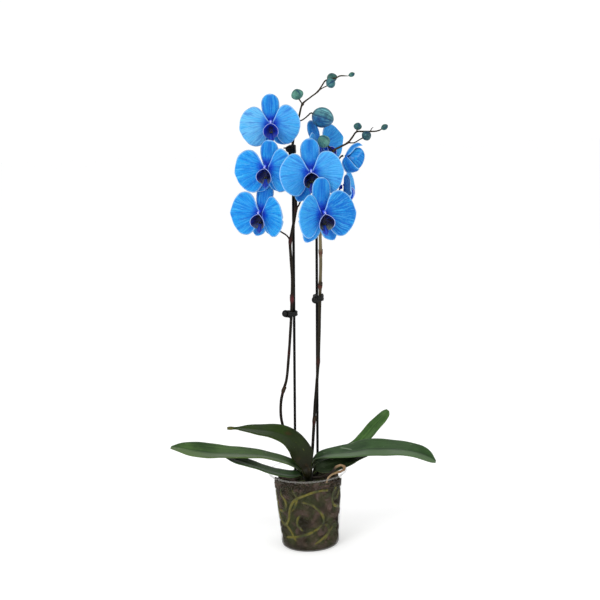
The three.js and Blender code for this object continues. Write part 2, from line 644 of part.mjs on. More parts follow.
function petalGrid(f, sign) {
  const [k, cup, turn, wide] = sign > 0 ? f.right : f.left;
  const at = flowerFrame(f),
    c = THREE.MathUtils.degToRad(cup),
    q = THREE.MathUtils.degToRad(turn),
    rows = 6;
  const up = new THREE.CatmullRomCurve3(PETAL_UP.map(([x, y]) => V(x, y, 0)));
  const low = new THREE.CatmullRomCurve3(PETAL_LOW.map(([x, y]) => V(x, y, 0)));
  const grid = [];
  for (let i = 0; i <= rows; i++) {
    const t = i / rows,
      a = up.getPoint(t),
      b = low.getPoint(t),
      row = [];
    for (const s of [-1, -0.5, 0, 0.5, 1]) {
      const p = a.clone().lerp(b, (s + 1) / 2);
      const x0 = p.x * k,
        y0 = p.y * k * wide;
      const x = x0 * Math.cos(q) - y0 * Math.sin(q),
        y = x0 * Math.sin(q) + y0 * Math.cos(q);
      const soft = Math.min(1, t / 0.3);
      const z = PETAL_Z - 3.0 * s * s * soft - 2.5 * t * t * t;
      row.push(
        at(sign * x * Math.cos(c), y, z + x * Math.sin(c)),
      );
    }
    grid.push(sign > 0 ? row : row.reverse());
  }
  return grid;
}

// A sepal runs from the hub outwards; angle is measured from straight up,
// clockwise as the viewer sees it.
function sepalGrid(f, angle, length, widths, bend) {
  const at = flowerFrame(f),
    a = THREE.MathUtils.degToRad(angle),
    rows = 5;
  const dx = Math.sin(a),
    dy = Math.cos(a),
    grid = [];
  for (let i = 0; i <= rows; i++) {
    const t = i / rows,
      w = lerpTable(widths, t) * f.k,
      l = t * length * f.k,
      row = [];
    for (const s of [-1, 0, 1]) {
      const x = dx * l + dy * w * s,
        y = dy * l - dx * w * s;
      row.push(at(x, y, SEPAL_Z - bend * t * t - 1.4 * s * s * Math.min(1, t / 0.3)));
    }
    grid.push(row);
  }
  return grid;
}

function disc(f, r, z0, z1, sides = 6) {
  const at = flowerFrame(f),
    ring = (z) =>
      Array.from({ length: sides }, (_, i) => {
        const a = (2 * Math.PI * (i + 0.5)) / sides;
        return at(r * Math.cos(a), r * Math.sin(a), z);
      });
  return loft([ring(z0), ring(z1)], at(0, 0, z0), at(0, 0, z1));
}

// Rim of the lip's bowl, half of it, in millimetres on a 45 mm half flower:
// across, up, and how far forward.
const LIP_RIM = [
  [0, 0.4, 9.4],
  [6.4, -2.4, 14.8],
  [11.1, -9.6, 16.8],
  [9.8, -16.6, 14.4],
  [4.6, -20.8, 11.0],
  [0, -21.4, 9.8],
];
function lipSolid(f) {
  const at = flowerFrame(f),
    q = f.k / 45;
  const rim = [
    ...LIP_RIM,
    ...LIP_RIM.slice(1, -1)
      .reverse()
      .map(([x, y, z]) => [-x, y, z]),
  ];
  const cy = -10.6;
  const ring = (grow, shrink, z0, lift = 0) =>
    rim.map(([x, y, z]) => {
      const dx = x,
        dy = y - cy;
      const l = Math.hypot(dx, dy),
        g = (l * shrink + grow) / l;
      return at(
        q * dx * g,
        q * (cy + lift + dy * g),
        z0 + (z - 10.4) * shrink * shrink,
      );
    });
  const rings = [
    ring(0, 0.34, 3.6, 2.6),
    ring(0, 0.8, 6.2, 0.8),
    ring(0, 1, 10.6),
    ring(-LIP_T * 1.4, 0.88, 8.8, 0.5),
    ring(-LIP_T * 0.8, 0.34, 5.2, 2.4),
  ];
  const bowl = loft(rings, at(0, q * (cy + 2.6), 3.6), at(0, q * (cy + 2.4), 5.2));
  // pointed middle lobe at the foot of the bowl
  const tongue = bar(
    [
      at(0, -17.6 * q, 9.0),
      at(0, -21.4 * q, 11.8),
      at(0, -24.6 * q, 13.6),
      at(0, -26.6 * q, 14.6),
    ],
    [2.4, 3.0, 2.6, 0.8],
    5,
    3,
  );
  return bowl.add(tongue);
}
function columnSolid(f) {
  const at = flowerFrame(f);
  return bar(
    [at(0, 3.2, 2.1), at(0, 3.5, 4.6), at(0, 3.4, 7.0), at(0, 2.8, 9.0), at(0, 2.2, 10.6)],
    [1.6, 1.6, 1.8, 1.8, 0.9],
    7,
    4,
  );
}

for (const f of FLOWERS) {
  const id = "flower_" + f.id;
  add(
    id + "_sepals",
    join([
      disc(f, 3.6, SEPAL_Z - 1, SEPAL_Z + 0.8),
      blade(sepalGrid(f, f.dorsal, f.up, DORSAL_W, f.bend), SEPAL_T),
      blade(sepalGrid(f, 180 - f.spread, f.down, LATERAL_W, f.fall), SEPAL_T),
      blade(sepalGrid(f, 180 + f.spread, f.down, LATERAL_W, f.fall), SEPAL_T),
    ]),
    MAT.sepal,
  );
  add(
    id + "_petals",
    join([
      disc(f, 3.2, -0.6, 1.4),
      blade(petalGrid(f, 1), PETAL_T),
      blade(petalGrid(f, -1), PETAL_T),
    ]),
    MAT.petal,
  );
  add(id + "_lip", lipSolid(f), MAT.lip);
  add(id + "_column", columnSolid(f), MAT.column);
}

// ---- stems, now that the flowers' backs are known ------------------------
const backOf = (id) => {
  const f = FLOWERS.find((g) => g.id === id);
  const at = flowerFrame(f);
  return [at(0, 0, BACK_Z - 7), at(0, 0, BACK_Z)];
};
function withBack(list, id) {
  const [a, b] = backOf(id);
  return [...list, [a.x, a.y, a.z], [b.x, b.y, b.z]];
}
add(
  "spike_1",
  spike(SPIKE_1, SPIKE_1_R, [
    [withBack(PEDICELS_1.A, "a"), 1.3, 1.5],
    [withBack(PEDICELS_1.B, "b"), 1.3, 1.5],
    [withBack(PEDICELS_1.C, "c"), 1.3, 1.5],
    [withBack(PEDICELS_1.D, "d"), 1.3, 1.5],
    [withBack(PEDICELS_1.F, "f"), 1.3, 1.5],
    [PEDICELS_1.J, 1.0, 1.2],
    [PEDICELS_1.K1, 0.9, 1.1],
    [PEDICELS_1.K3, 0.8, 0.9],
  ]),
  MAT.stem,
);
add(
  "spike_2",
  spike(SPIKE_2, SPIKE_2_R, [
    [withBack(PEDICELS_2.E, "e"), 1.3, 1.5],
    [withBack(PEDICELS_2.G, "g"), 1.3, 1.5],
    [PEDICELS_2.H, 1.2, 1.4],
    [PEDICELS_2.L1, 1.0, 1.2],
    [PEDICELS_2.L2, 1.2, 1.2],
    [PEDICELS_2.L3, 0.9, 1.0],
    [PEDICELS_2.hook, 0.8, 0.6],
    [PEDICELS_2.L4, 0.9, 0.9],
  ]),
  MAT.stem,
);

// ---- buds --------------------------------------------------------------
// An egg from its foot to its tip, with three shallow seams.
function egg(foot, axis, length, radius, sides = 10, rings = 6, flat = 1) {
  const c = V(...foot),
    d = V(...axis).normalize();
  let s = Math.abs(d.y) < 0.9 ? V(0, -1, 0) : V(0, 0, 1);
  s.addScaledVector(d, -s.dot(d)).normalize();
  const o = V(0, 0, 0).crossVectors(d, s),
    list = [];
  for (let i = 1; i < rings; i++) {
    const t = i / rings,
      w = Math.pow(Math.sin(Math.PI * Math.pow(t, 0.9)), 0.55);
    list.push(
      Array.from({ length: sides }, (_, j) => {
        const a = (2 * Math.PI * j) / sides,
          r = radius * w;
        return c
          .clone()
          .addScaledVector(d, length * t)
          .addScaledVector(s, r * flat * Math.cos(a))
          .addScaledVector(o, r * Math.sin(a));
      }),
    );
  }
  return loft(list, c.clone(), c.clone().addScaledVector(d, length));
}
for (const b of BUDS)
  add("bud_" + b.id, egg(b.foot, b.axis, b.length, b.radius, b.id === "j" ? 10 : 8, b.id === "j" ? 7 : 6), MAT.bud);

// ---- half-open flower ----------------------------------------------------
{
  const { knot, outline, left, top, back } = HALF_OPEN;
  const view = V(0, 0.985, -0.175); // straight into the plant
  const ring = outline.map((p) => V(...p));
  const mid = ring.reduce((a, b) => a.clone().add(b), V(0, 0, 0)).divideScalar(ring.length);
  const layer = (scale, deep) =>
    ring.map((p) => mid.clone().lerp(p, scale).addScaledVector(view, deep));
  add(
    "h_petals",
    loft(
      [layer(0.5, -6.4), layer(0.85, -4.6), layer(1, 0), layer(0.85, 4.4), layer(0.5, 6)],
      mid.clone().addScaledVector(view, -7),
      mid.clone().addScaledVector(view, 6.5),
    ),
    MAT.petal,
  );
  const shell = (rows) =>
    blade(
      rows.map(([a, b, bulge]) => {
        const p = V(...a),
          q = V(...b);
        return [p, p.clone().lerp(q, 0.5).addScaledVector(view, -bulge), q];
      }),
      SEPAL_T,
    );
  const c = V(...knot);
  const cap = bar([c.clone().addScaledVector(view, -2), c.clone().addScaledVector(view, 2)], [1.9, 1.9], 8, 1);
  add("h_sepals", join([cap, shell(left), shell(top), shell(back)]), MAT.sepal);
}

// ---- clips ---------------------------------------------------------------
// A ring round stake and stem, a coiled lobe and two finger tabs.
function clipSolid(c) {
  const { at, rx, ry, height, lobe, lobeR, tabs } = c;
  const wall = 1.3,
    sides = 16,
    o = V(...at);
  const ring = (r, z) =>
    Array.from({ length: sides }, (_, i) => {
      const a = (2 * Math.PI * i) / sides;
      return V((rx + r) * Math.cos(a), (ry + r) * Math.sin(a), z).add(o);
    });
  const h = height / 2;
  const tube = loft([ring(wall, -h), ring(wall, h)], o.clone().setZ(o.z - h), o.clone().setZ(o.z + h)).subtract(
    loft([ring(0, -h - 1), ring(0, h + 1)], o.clone().setZ(o.z - h - 1), o.clone().setZ(o.z + h + 1)),
  );
  const parts = [tube];
  if (lobe) {
    const [lx, ly, lz] = lobe;
    const a = V(lx, ly - 2.2, lz).add(o),
      b = V(lx, ly + 2.2, lz).add(o);
    parts.push(bar([a, b], [lobeR, lobeR], 12, 1));
  }
  for (const [from, to, r0, r1] of tabs)
    parts.push(bar([V(...from).add(o), V(...to).add(o)], [r0, r1], 6, 1));
  return join(parts);
}
CLIPS.forEach((c, i) => add("clip_" + (i + 1), clipSolid(c), MAT.clip));

// ---- pot -----------------------------------------------------------------
const wallR = (z) =>
  POT_BASE_R + ((POT_TOP_R - POT_BASE_R) * (z - POT_BASE_Z)) / (POT_TOP_Z - POT_BASE_Z);
{
  const w = POT_WALL;
  const profile = [
    [0, 0],
    [POT_FOOT_R, 0],
    [POT_FOOT_R + 2.8, 1.3],
    [POT_BASE_R - 0.7, 4],
    [POT_BASE_R, POT_BASE_Z],
    [wallR(60), 60],
    [POT_TOP_R, POT_TOP_Z],
    [POT_TOP_R + 0.8, 112.4],
    [POT_RIM_R - 1.2, 114.3],
    [POT_RIM_R, 115.2],
    [POT_RIM_R, POT_H - 0.6],
    [POT_RIM_R - 0.7, POT_H],
    [POT_TOP_R + 1.4, POT_H - 1.6],
    [POT_TOP_R - w, 112.2],
    [POT_TOP_R - w, POT_TOP_Z],
    [wallR(60) - w, 60],
    [POT_BASE_R - w, POT_BASE_Z],
    [POT_BASE_R - w - 0.7, 5],
    [POT_FOOT_R + 1.2, 2.4],
    [POT_FOOT_R - 1, 1.6],
    [0, 1.6],
  ];
  let pot = lathe(profile, 36);
  const drill = (x, y, r, z0, z1, sides = 8) => bar([V(x, y, z0), V(x, y, z1)], [r, r], sides, 1);
  for (let i = 0; i < 6; i++) {
    const a = (Math.PI * (2 * i + 1)) / 6;
    pot = pot.subtract(drill(27 * Math.cos(a), 27 * Math.sin(a), 3.4, -1, 3));
  }
  for (let i = 0; i < 6; i++) {
    const a = (Math.PI * (2 * i)) / 6 - Math.PI / 2 - 0.06;
    pot = pot.subtract(drill(43.5 * Math.cos(a), 43.5 * Math.sin(a), 2.6, -1, 5.2, 6));
  }
  add("pot", pot, MAT.pot);
}

// ---- roots against the wall -------------------------------------------------
const rootR = (z) => wallR(z) - POT_WALL - ROOT_R - 0.6;
const wallPath = (list) =>
  list.map(([deg, z, deep]) => {
    const a = THREE.MathUtils.degToRad(deg),
      r = rootR(z) - deep;
    return V(r * Math.sin(a), -r * Math.cos(a), z);
  });
const cuts = [];
ROOTS.forEach((list, i) => {
  const p = wallPath(list),
    n = Math.round(1.5 * (list.length - 1));
  add("root_" + "abc"[i], bar(p, [ROOT_R, ROOT_R], 5, n), MAT.root);
  cuts.push(bar(p, [ROOT_R + 1.3 * CLEAR, ROOT_R + 1.3 * CLEAR], 5, n));
});
add("root_aerial", bar(pts(AERIAL), AERIAL_R, 6, 12), MAT.dryRoot);
cuts.push(bar(pts(AERIAL), AERIAL_R.map((r) => r + CLEAR), 6, 12));

// ---- bark mix ----------------------------------------------------------------
{
  const seg = 24,
    rows = [
      [POT_FOOT_R - 2, 2.4],
      [POT_FOOT_R + 0.4, 4.4],
      [wallR(12) - POT_WALL - MEDIUM_GAP - 0.4, 12],
      [wallR(54) - POT_WALL - MEDIUM_GAP, 54],
      [wallR(97) - POT_WALL - MEDIUM_GAP, 97],
      [48, MEDIUM_TOP],
      [38, MEDIUM_TOP + 1],
      [20, MEDIUM_TOP + 2.6],
    ];
  const rings = rows.map(([r, z], i) =>
    Array.from({ length: seg }, (_, j) => {
      const a = (2 * Math.PI * j) / seg;
      const lump = Math.sin(5 * a + 2.1 * i) * Math.cos(3 * a - 1.3 * i);
      const rr = i >= 5 ? r + 1.6 * lump : r - 0.5 * Math.abs(lump);
      return V(rr * Math.cos(a), rr * Math.sin(a), i >= 5 ? z + 1.5 * lump : z);
    }),
  );
  let medium = loft(rings, V(0, 0, 2.4), V(0, 0, MEDIUM_TOP + 3));
  for (const c of cuts) medium = medium.subtract(c);
  for (const [a, b] of stakes)
    medium = medium.subtract(straight([a[0], a[1], a[2] - 1], b, STAKE_R + CLEAR, 10));
  medium = medium.subtract(bar(pts(CROWN), CROWN_R.map((r) => r + CLEAR + 0.3), 10, 7).add(
    straight([0, -2, 88.5], [0, -2, 92], 6.2, 12)));
  const bodies = medium.decompose().sort((p, q) => q.volume() - p.volume());
  add("medium", bodies[0], MAT.medium);
}

export default root;
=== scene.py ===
import math
import random

import bmesh
import bpy
import numpy as np
from mathutils import Matrix, Vector


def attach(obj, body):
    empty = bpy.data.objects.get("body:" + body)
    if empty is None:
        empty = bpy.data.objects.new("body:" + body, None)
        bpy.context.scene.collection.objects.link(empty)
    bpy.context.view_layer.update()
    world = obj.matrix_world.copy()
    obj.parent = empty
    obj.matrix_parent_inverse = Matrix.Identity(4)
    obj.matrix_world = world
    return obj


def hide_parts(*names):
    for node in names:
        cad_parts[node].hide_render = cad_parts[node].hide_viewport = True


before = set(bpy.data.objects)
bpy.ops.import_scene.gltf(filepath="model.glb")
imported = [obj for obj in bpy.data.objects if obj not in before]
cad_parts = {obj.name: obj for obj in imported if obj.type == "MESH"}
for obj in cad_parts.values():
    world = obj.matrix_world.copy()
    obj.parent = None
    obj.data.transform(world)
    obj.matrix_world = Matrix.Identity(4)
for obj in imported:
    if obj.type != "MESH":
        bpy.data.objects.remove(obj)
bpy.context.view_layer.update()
MM = 0.001
RAD = math.pi / 180
rng = np.random.default_rng(20261)

scene = bpy.context.scene
scene.view_settings.view_transform = "Standard"
scene.view_settings.look = "None"
scene.view_settings.exposure = 0.0
scene.view_settings.gamma = 1.0

# measured tables, millimetres
T = {
    "leaf_l1": [
        [[-7.9, 5.0, 125.5], [-14.3, -9.0, 121.4]],
        [[-28.0, 9.0, 135.9], [-30.9, -15.0, 132.3]],
        [[-59.4, 14.0, 145.7], [-63.4, -23.0, 144.8]],
        [[-88.1, 18.0, 151.1], [-89.4, -29.0, 149.7]],
        [[-115.7, 21.0, 155.1], [-123.0, -33.0, 152.8]],
        [[-142.9, 21.0, 159.9], [-151.6, -33.0, 153.3]],
        [[-168.0, 16.0, 164.6], [-175.8, -29.0, 157.1]],
        [[-189.8, 8.0, 167.1], [-195.9, -20.0, 161.8]],
        [[-206.7, 0.0, 163.9], [-207.5, -8.0, 162.5]],
    ],
    "leaf_l2": [
        [[-9.9, -3.0, 116.9], [-10.9, -19.0, 114.2]],
        [[-26.6, -3.0, 119.1], [-25.3, -32.0, 115.7]],
        [[-47.8, -2.0, 122.7], [-50.1, -35.0, 123.0]],
        [[-68.0, 0.0, 130.0], [-74.4, -33.0, 131.5]],
        [[-89.7, 3.0, 138.0], [-95.4, -28.0, 137.1]],
        [[-108.5, 6.0, 144.0], [-114.5, -20.0, 141.9]],
        [[-131.4, 8.0, 149.2], [-132.5, 0.0, 148.5]],
    ],
    "leaf_l3": [
        [[5.9, -11.0, 112.4], [-5.6, -12.0, 111.2]],
        [[7.4, -10.6, 128.9], [-10.4, -14.5, 123.8]],
        [[10.0, -4.0, 146.6], [-21.9, -19.0, 140.3]],
        [[-2.3, 4.0, 167.3], [-26.7, -26.0, 155.7]],
        [[-14.8, 6.0, 179.6], [-35.0, -31.0, 168.5]],
        [[-35.8, 6.0, 189.0], [-53.9, -34.0, 180.8]],
        [[-61.6, 4.0, 191.8], [-78.0, -32.0, 187.2]],
        [[-85.8, -2.0, 193.2], [-96.8, -24.0, 190.1]],
        [[-105.4, -10.0, 192.2], [-106.8, -15.0, 189.8]],
        [[-113.6, -11.5, 193.6], [-113.9, -15.5, 189.7]],
        [[-118.9, -12.0, 193.1], [-118.6, -15.0, 190.4]],
    ],
    "leaf_r1": [
        [[10.0, 2.0, 136.3], [11.0, -8.0, 134.3]],
        [[16.5, 9.0, 141.2], [19.9, -15.0, 139.3]],
        [[28.5, 16.0, 144.3], [35.0, -21.0, 141.5]],
        [[47.4, 22.0, 147.0], [57.6, -26.0, 142.7]],
        [[67.8, 26.0, 150.0], [76.2, -30.0, 143.8]],
        [[92.9, 28.0, 154.4], [95.2, -31.0, 145.4]],
        [[122.5, 28.0, 153.4], [120.8, -31.0, 144.7]],
        [[148.2, 26.0, 150.1], [146.6, -29.0, 142.3]],
        [[168.9, 20.0, 145.8], [163.4, -25.0, 137.3]],
        [[182.3, 12.0, 141.6], [179.0, -19.0, 129.9]],
        [[190.7, 4.0, 136.3], [190.1, -13.0, 123.7]],
        [[197.8, -3.0, 123.5], [196.4, -8.0, 121.1]],
    ],
    "leaf_r2": [
        [[8.4, 8.0, 127.8], [11.2, 0.0, 124.6]],
        [[21.9, 16.0, 134.1], [30.8, 5.0, 130.5]],
        [[47.5, 35.0, 137.5], [59.3, 21.0, 134.1]],
        [[69.6, 48.0, 144.4], [86.2, 28.0, 140.7]],
        [[83.9, 58.0, 154.2], [104.6, 38.0, 154.5]],
        [[99.5, 65.0, 168.8], [116.6, 47.0, 165.8]],
        [[113.2, 69.0, 180.0], [127.3, 55.0, 174.3]],
        [[123.0, 70.0, 186.8], [132.6, 61.0, 181.3]],
        [[129.0, 69.0, 188.9], [132.9, 66.0, 186.1]],
    ],
    "leaf_r3": [
        [[12.0, -2.0, 125.0], [12.2, -11.0, 116.9]],
        [[22.9, -4.0, 131.9], [24.9, -24.0, 118.1]],
        [[41.5, -1.0, 136.1], [46.2, -28.0, 122.5]],
        [[58.7, 3.0, 138.6], [63.1, -26.0, 128.2]],
        [[75.5, 2.0, 138.8], [79.1, -20.0, 134.9]],
        [[91.3, -3.0, 138.8], [92.3, -11.0, 137.2]],
    ],
    "stake1": [
        [-19.1, 13.0, 100.2],
        [-0.4, 3.0, 620.6],
    ],
    "stake2": [
        [15.8, 19.0, 109.6],
        [29.1, 2.0, 484.2],
    ],
    "spike1": [
        [-12.3, 6.2, 130.9],
        [-18.0, 6.8, 147.0],
        [-25.0, 9.5, 162.4],
        [-32.9, 13.5, 179.1],
        [-36.7, 14.0, 196.6],
        [-35.8, 12.0, 222.4],
        [-31.7, 11.0, 239.8],
        [-26.0, 9.5, 257.2],
        [-21.1, 7.0, 291.9],
        [-17.1, 4.5, 327.8],
        [-13.8, 2.2, 361.9],
        [-12.1, 1.5, 382.6],
        [-10.3, 1.0, 412.2],
        [-10.8, 0.0, 445.6],
        [-10.8, -0.5, 469.8],
        [-6.9, -1.5, 487.7],
        [-2.7, -3.0, 505.5],
        [-0.1, -4.0, 520.4],
        [0.0, -5.0, 547.1],
        [-1.1, -6.0, 576.6],
        [-1.4, -6.0, 605.8],
        [2.2, -7.0, 627.6],
        [7.8, -8.0, 644.7],
        [11.2, -8.5, 657.6],
        [16.2, -9.0, 671.9],
        [27.3, -9.5, 680.5],
        [38.8, -10.0, 688.6],
        [45.2, -10.0, 696.8],
        [50.6, -10.0, 703.8],
        [57.3, -10.0, 705.5],
        [65.5, -10.0, 706.9],
        [72.1, -10.0, 709.6],
        [83.3, -10.0, 709.1],
    ],
    "spike1r": [2.3, 2.3, 2.3, 2.3, 2.3, 2.3, 2.9, 2.2, 2.2, 2.2, 2.2, 2.8, 2.2, 2.2, 2.2, 2.2, 2.18, 2.11, 1.99, 1.86, 1.72, 1.63, 1.55, 1.49, 1.34, 1.27, 1.19, 1.12, 1.46, 1.04, 1.03, 1.9, 0.55],
    "spike2": [
        [6.6, 10.0, 130.5],
        [8.8, 11.0, 142.9],
        [11.4, 12.0, 168.0],
        [13.9, 12.0, 194.9],
        [16.0, 10.5, 217.3],
        [19.6, 8.0, 247.7],
        [23.6, 5.0, 284.1],
        [26.6, 2.5, 326.3],
        [29.3, 0.5, 372.5],
        [31.1, -1.0, 402.1],
        [33.1, -2.5, 433.5],
        [33.8, -7.0, 464.2],
        [34.1, -14.0, 484.4],
        [36.9, -22.0, 510.4],
        [42.4, -25.0, 539.8],
        [49.3, -24.0, 568.5],
        [53.8, -20.0, 585.4],
        [57.9, -17.0, 602.5],
        [67.9, -16.0, 607.8],
        [79.9, -15.0, 613.7],
        [86.3, -15.0, 621.0],
        [92.5, -15.0, 628.4],
        [102.2, -15.0, 628.8],
        [113.2, -15.0, 628.3],
        [121.0, -15.0, 628.3],
        [127.2, -15.0, 629.7],
    ],
    "spike2r": [2.4, 2.4, 2.4, 2.4, 2.4, 2.4, 2.4, 2.4, 2.4, 3.1, 2.4, 2.4, 2.31, 2.16, 1.98, 1.81, 1.71, 1.6, 1.53, 1.46, 1.39, 1.32, 1.25, 1.18, 1.11, 1.04],
    "ped1": {
        "A": [[3.7, -7.5, 632.6], [-9.4, -9.0, 639.0], [-22.3, -13.0, 644.1]],
        "B": [[-1.5, -6.0, 573.7], [-15.2, -11.0, 576.1], [-28.0, -22.0, 580.0]],
        "C": [[-10.6, -0.8, 471.3], [-14.8, -4.0, 479.4], [-26.3, -12.0, 489.1], [-40.3, -22.0, 504.9]],
        "D": [[-0.2, -4.0, 518.9], [4.0, -9.0, 524.4], [11.1, -24.0, 542.5], [19.8, -42.0, 565.5]],
        "F": [[-1.0, -6.0, 581.0], [8.8, -3.0, 586.2], [21.0, 2.0, 595.6], [30.9, 7.0, 602.2]],
        "J": [[8.7, -8.0, 646.9], [15.8, -8.5, 649.3], [23.3, -9.0, 654.8], [28.0, -9.0, 658.5]],
        "K1": [[15.9, -9.0, 671.5], [13.9, -9.0, 675.0], [12.1, -9.0, 677.7]],
        "K3": [[39.1, -10.0, 688.8], [45.1, -12.5, 693.1], [51.0, -15.5, 695.7]],
    },
    "ped2": {
        "E": [[35.1, -18.5, 496.8], [35.9, -34.0, 501.5], [36.5, -56.0, 509.8]],
        "G": [[46.8, -24.3, 558.5], [52.7, -17.0, 555.4], [59.4, -8.0, 551.4]],
        "H": [[53.7, -20.0, 584.7], [61.0, -22.0, 586.7], [65.7, -26.0, 591.4], [68.9, -29.5, 595.3], [71.5, -30.0, 595.9]],
        "L1": [[57.7, -17.0, 601.8], [54.3, -19.0, 606.2], [51.2, -20.0, 609.6]],
        "L2": [[92.2, -15.0, 627.8], [93.3, -15.0, 630.3]],
        "L3": [[80.1, -15.0, 613.6], [88.1, -18.0, 613.0], [95.2, -23.0, 617.0], [98.0, -24.0, 618.5]],
        "hook": [[112.9, -15.0, 628.3], [114.8, -15.0, 632.3], [117.2, -15.0, 634.2]],
        "L4": [[125.7, -15.0, 629.2], [127.7, -15.0, 630.2]],
    },
    "flowers": [
        {"id": "a", "at": [-30.6, -20.0, 646.9], "yaw": -3, "pitch": -3, "roll": 0, "k": 44.5, "dorsal": -1, "up": 0.93, "down": 0.86, "spread": 33, "bend": 5, "fall": 4, "left": [48.33, 17.58, -4.69, 0.9], "right": [44.25, 15.08, -1.65, 0.97]},
        {"id": "b", "at": [-39.4, -42.0, 584.2], "yaw": -18, "pitch": -4, "roll": 0, "k": 46, "dorsal": 9, "up": 0.87, "down": 0.86, "spread": 27, "bend": -1, "fall": 0.5, "left": [48.61, 15.77, -3.9, 0.97], "right": [43.5, 14, -5, 1.1]},
        {"id": "c", "at": [-50.8, -36.0, 519.1], "yaw": -24, "pitch": -7, "roll": 0, "k": 45, "dorsal": 9, "up": 0.88, "down": 0.9, "spread": 24, "bend": 12, "fall": 4, "left": [46.7, 17.75, 5.99, 1.05], "right": [42.5, 21, -7, 1.08]},
        {"id": "d", "at": [23.5, -62.0, 577.2], "yaw": 2, "pitch": -4, "roll": 0, "k": 47, "dorsal": 0, "up": 1.0, "down": 1.02, "spread": 24, "bend": 4, "fall": 4, "left": [47.43, 16.21, -2.45, 0.98], "right": [48.58, 17.03, 2.99, 0.95]},
        {"id": "e", "at": [37.1, -82.0, 519.3], "yaw": 22, "pitch": -5, "roll": 0, "k": 48.5, "dorsal": 2, "up": 1.05, "down": 0.98, "spread": 28, "bend": 2, "fall": 4, "left": [48.95, 25.83, 1.4, 0.96], "right": [49.11, 23.77, 4.99, 1.02]},
        {"id": "f", "at": [41.4, 4.0, 607.8], "yaw": 55, "pitch": 2, "roll": 13, "k": 45, "dorsal": -4, "up": 0.92, "down": 0.85, "spread": 30, "bend": 5, "fall": 4, "left": [44, 12, 7, 0.92], "right": [45.5, 17.43, 4.5, 0.94]},
        {"id": "g", "at": [70.3, -2.0, 548.2], "yaw": 84, "pitch": -4, "roll": 0, "k": 45, "dorsal": 0, "up": 0.85, "down": 0.85, "spread": 28, "bend": 5, "fall": 4, "left": [44, 24, -4, 0.8], "right": [42.5, 25, -6, 1.0]},
    ],
    "buds": [
        {"id": "j", "foot": [29.43, -9.0, 656.98], "axis": [0.938, 0.0, -0.347], "length": 32.8, "radius": 14.8},
        {"id": "k1", "foot": [11.57, -9.0, 678.63], "axis": [-0.369, 0.0, 0.929], "length": 15.7, "radius": 9.0},
        {"id": "k2", "foot": [53.24, -1.5, 705.79], "axis": [0.97, 0.0, 0.244], "length": 15.2, "radius": 6.7},
        {"id": "k3", "foot": [52.49, -17.0, 696.0], "axis": [0.816, 0.0, 0.578], "length": 13.5, "radius": 7.2},
        {"id": "k5", "foot": [84.43, -10.0, 709.33], "axis": [0.933, 0.0, 0.36], "length": 9.4, "radius": 3.3},
        {"id": "l1", "foot": [49.79, -21.0, 609.68], "axis": [-0.612, 0.0, 0.791], "length": 19.0, "radius": 9.3},
        {"id": "l2", "foot": [93.57, -15.0, 631.24], "axis": [0.194, 0.0, 0.981], "length": 10.8, "radius": 6.0},
        {"id": "l3", "foot": [100.51, -24.0, 619.56], "axis": [0.883, 0.0, 0.47], "length": 14.0, "radius": 7.1},
        {"id": "l4", "foot": [129.0, -15.0, 630.98], "axis": [0.85, 0.0, 0.527], "length": 10.8, "radius": 4.2},
    ],
    "half": {
        "knot": [75.4, -30.3, 595.3],
        "outline": [[79.6, -28.0, 593.0], [77.1, -28.0, 587.3], [77.1, -28.0, 580.1], [81.0, -28.0, 574.4], [87.3, -28.0, 573.3], [93.5, -28.0, 576.2], [98.9, -28.0, 582.0], [102.4, -28.0, 590.5], [102.1, -28.0, 598.1], [98.3, -28.0, 604.3], [92.5, -28.0, 606.3], [86.3, -28.0, 602.8], [81.8, -28.0, 597.8]],
        "left": [[[74.1, -30.5, 594.8], [76.6, -31.5, 595.1], 0.2], [[70.9, -30.0, 590.9], [79.3, -37.0, 592.4], 1.5], [[69.3, -30.0, 585.5], [82.7, -38.5, 588.4], 3.0], [[71.0, -30.0, 578.8], [86.0, -38.5, 584.2], 3.5], [[75.5, -31.0, 571.4], [89.4, -38.0, 580.1], 3.0], [[83.5, -32.5, 570.9], [92.2, -37.0, 577.5], 1.6], [[91.4, -33.5, 572.9], [94.1, -35.5, 575.7], 0.4]],
        "top": [[[74.4, -30.5, 596.3], [76.4, -31.0, 595.6], 0.2], [[76.0, -31.0, 600.2], [80.6, -35.0, 597.4], 1.0], [[79.3, -32.0, 605.3], [85.3, -36.5, 601.9], 1.4], [[83.2, -33.0, 609.8], [88.9, -37.0, 605.8], 1.4], [[88.2, -34.0, 613.1], [93.3, -37.0, 608.2], 1.2], [[93.9, -35.0, 614.1], [96.8, -37.0, 609.2], 0.8], [[99.5, -36.0, 610.7], [99.3, -36.5, 609.3], 0.1]],
        "back": [[[74.8, -29.0, 596.4], [74.7, -29.0, 594.1], 0.0], [[76.8, -24.0, 599.5], [72.7, -24.0, 589.3], -1.0], [[83.6, -18.0, 603.2], [74.6, -18.0, 578.3], -3.0], [[93.4, -16.5, 604.7], [82.0, -16.5, 572.3], -3.5], [[100.4, -18.0, 598.7], [92.2, -18.0, 574.6], -2.5], [[102.2, -22.0, 589.9], [99.0, -22.0, 582.5], -0.6]],
    },
    "halfsep": [],
    "clips": [
        {"at": [-12.6, 5.2, 360.8], "rx": 6.8, "ry": 7.8, "height": 7, "lobe": [-10.0, -2.5, 0.5], "lobeR": 5.4, "tabs": [[[-9.6, -3, 4.4], [-1.8, -8.2, 5.2], 1.3, 1.1], [[-9.6, -3, -4.2], [-2.2, -8.2, -5.2], 1.4, 1.1]]},
        {"at": [27.7, 3.0, 383.6], "rx": 6.8, "ry": 7.6, "height": 9, "lobe": [-4.7, -9.4, -1.6], "lobeR": 5.6, "tabs": [[[4.4, -7.6, 3], [6.4, -8, 7.0], 1.6, 1.2], [[-3.4, -8.4, 3], [-1.4, -9, 6.6], 1.8, 1.3]]},
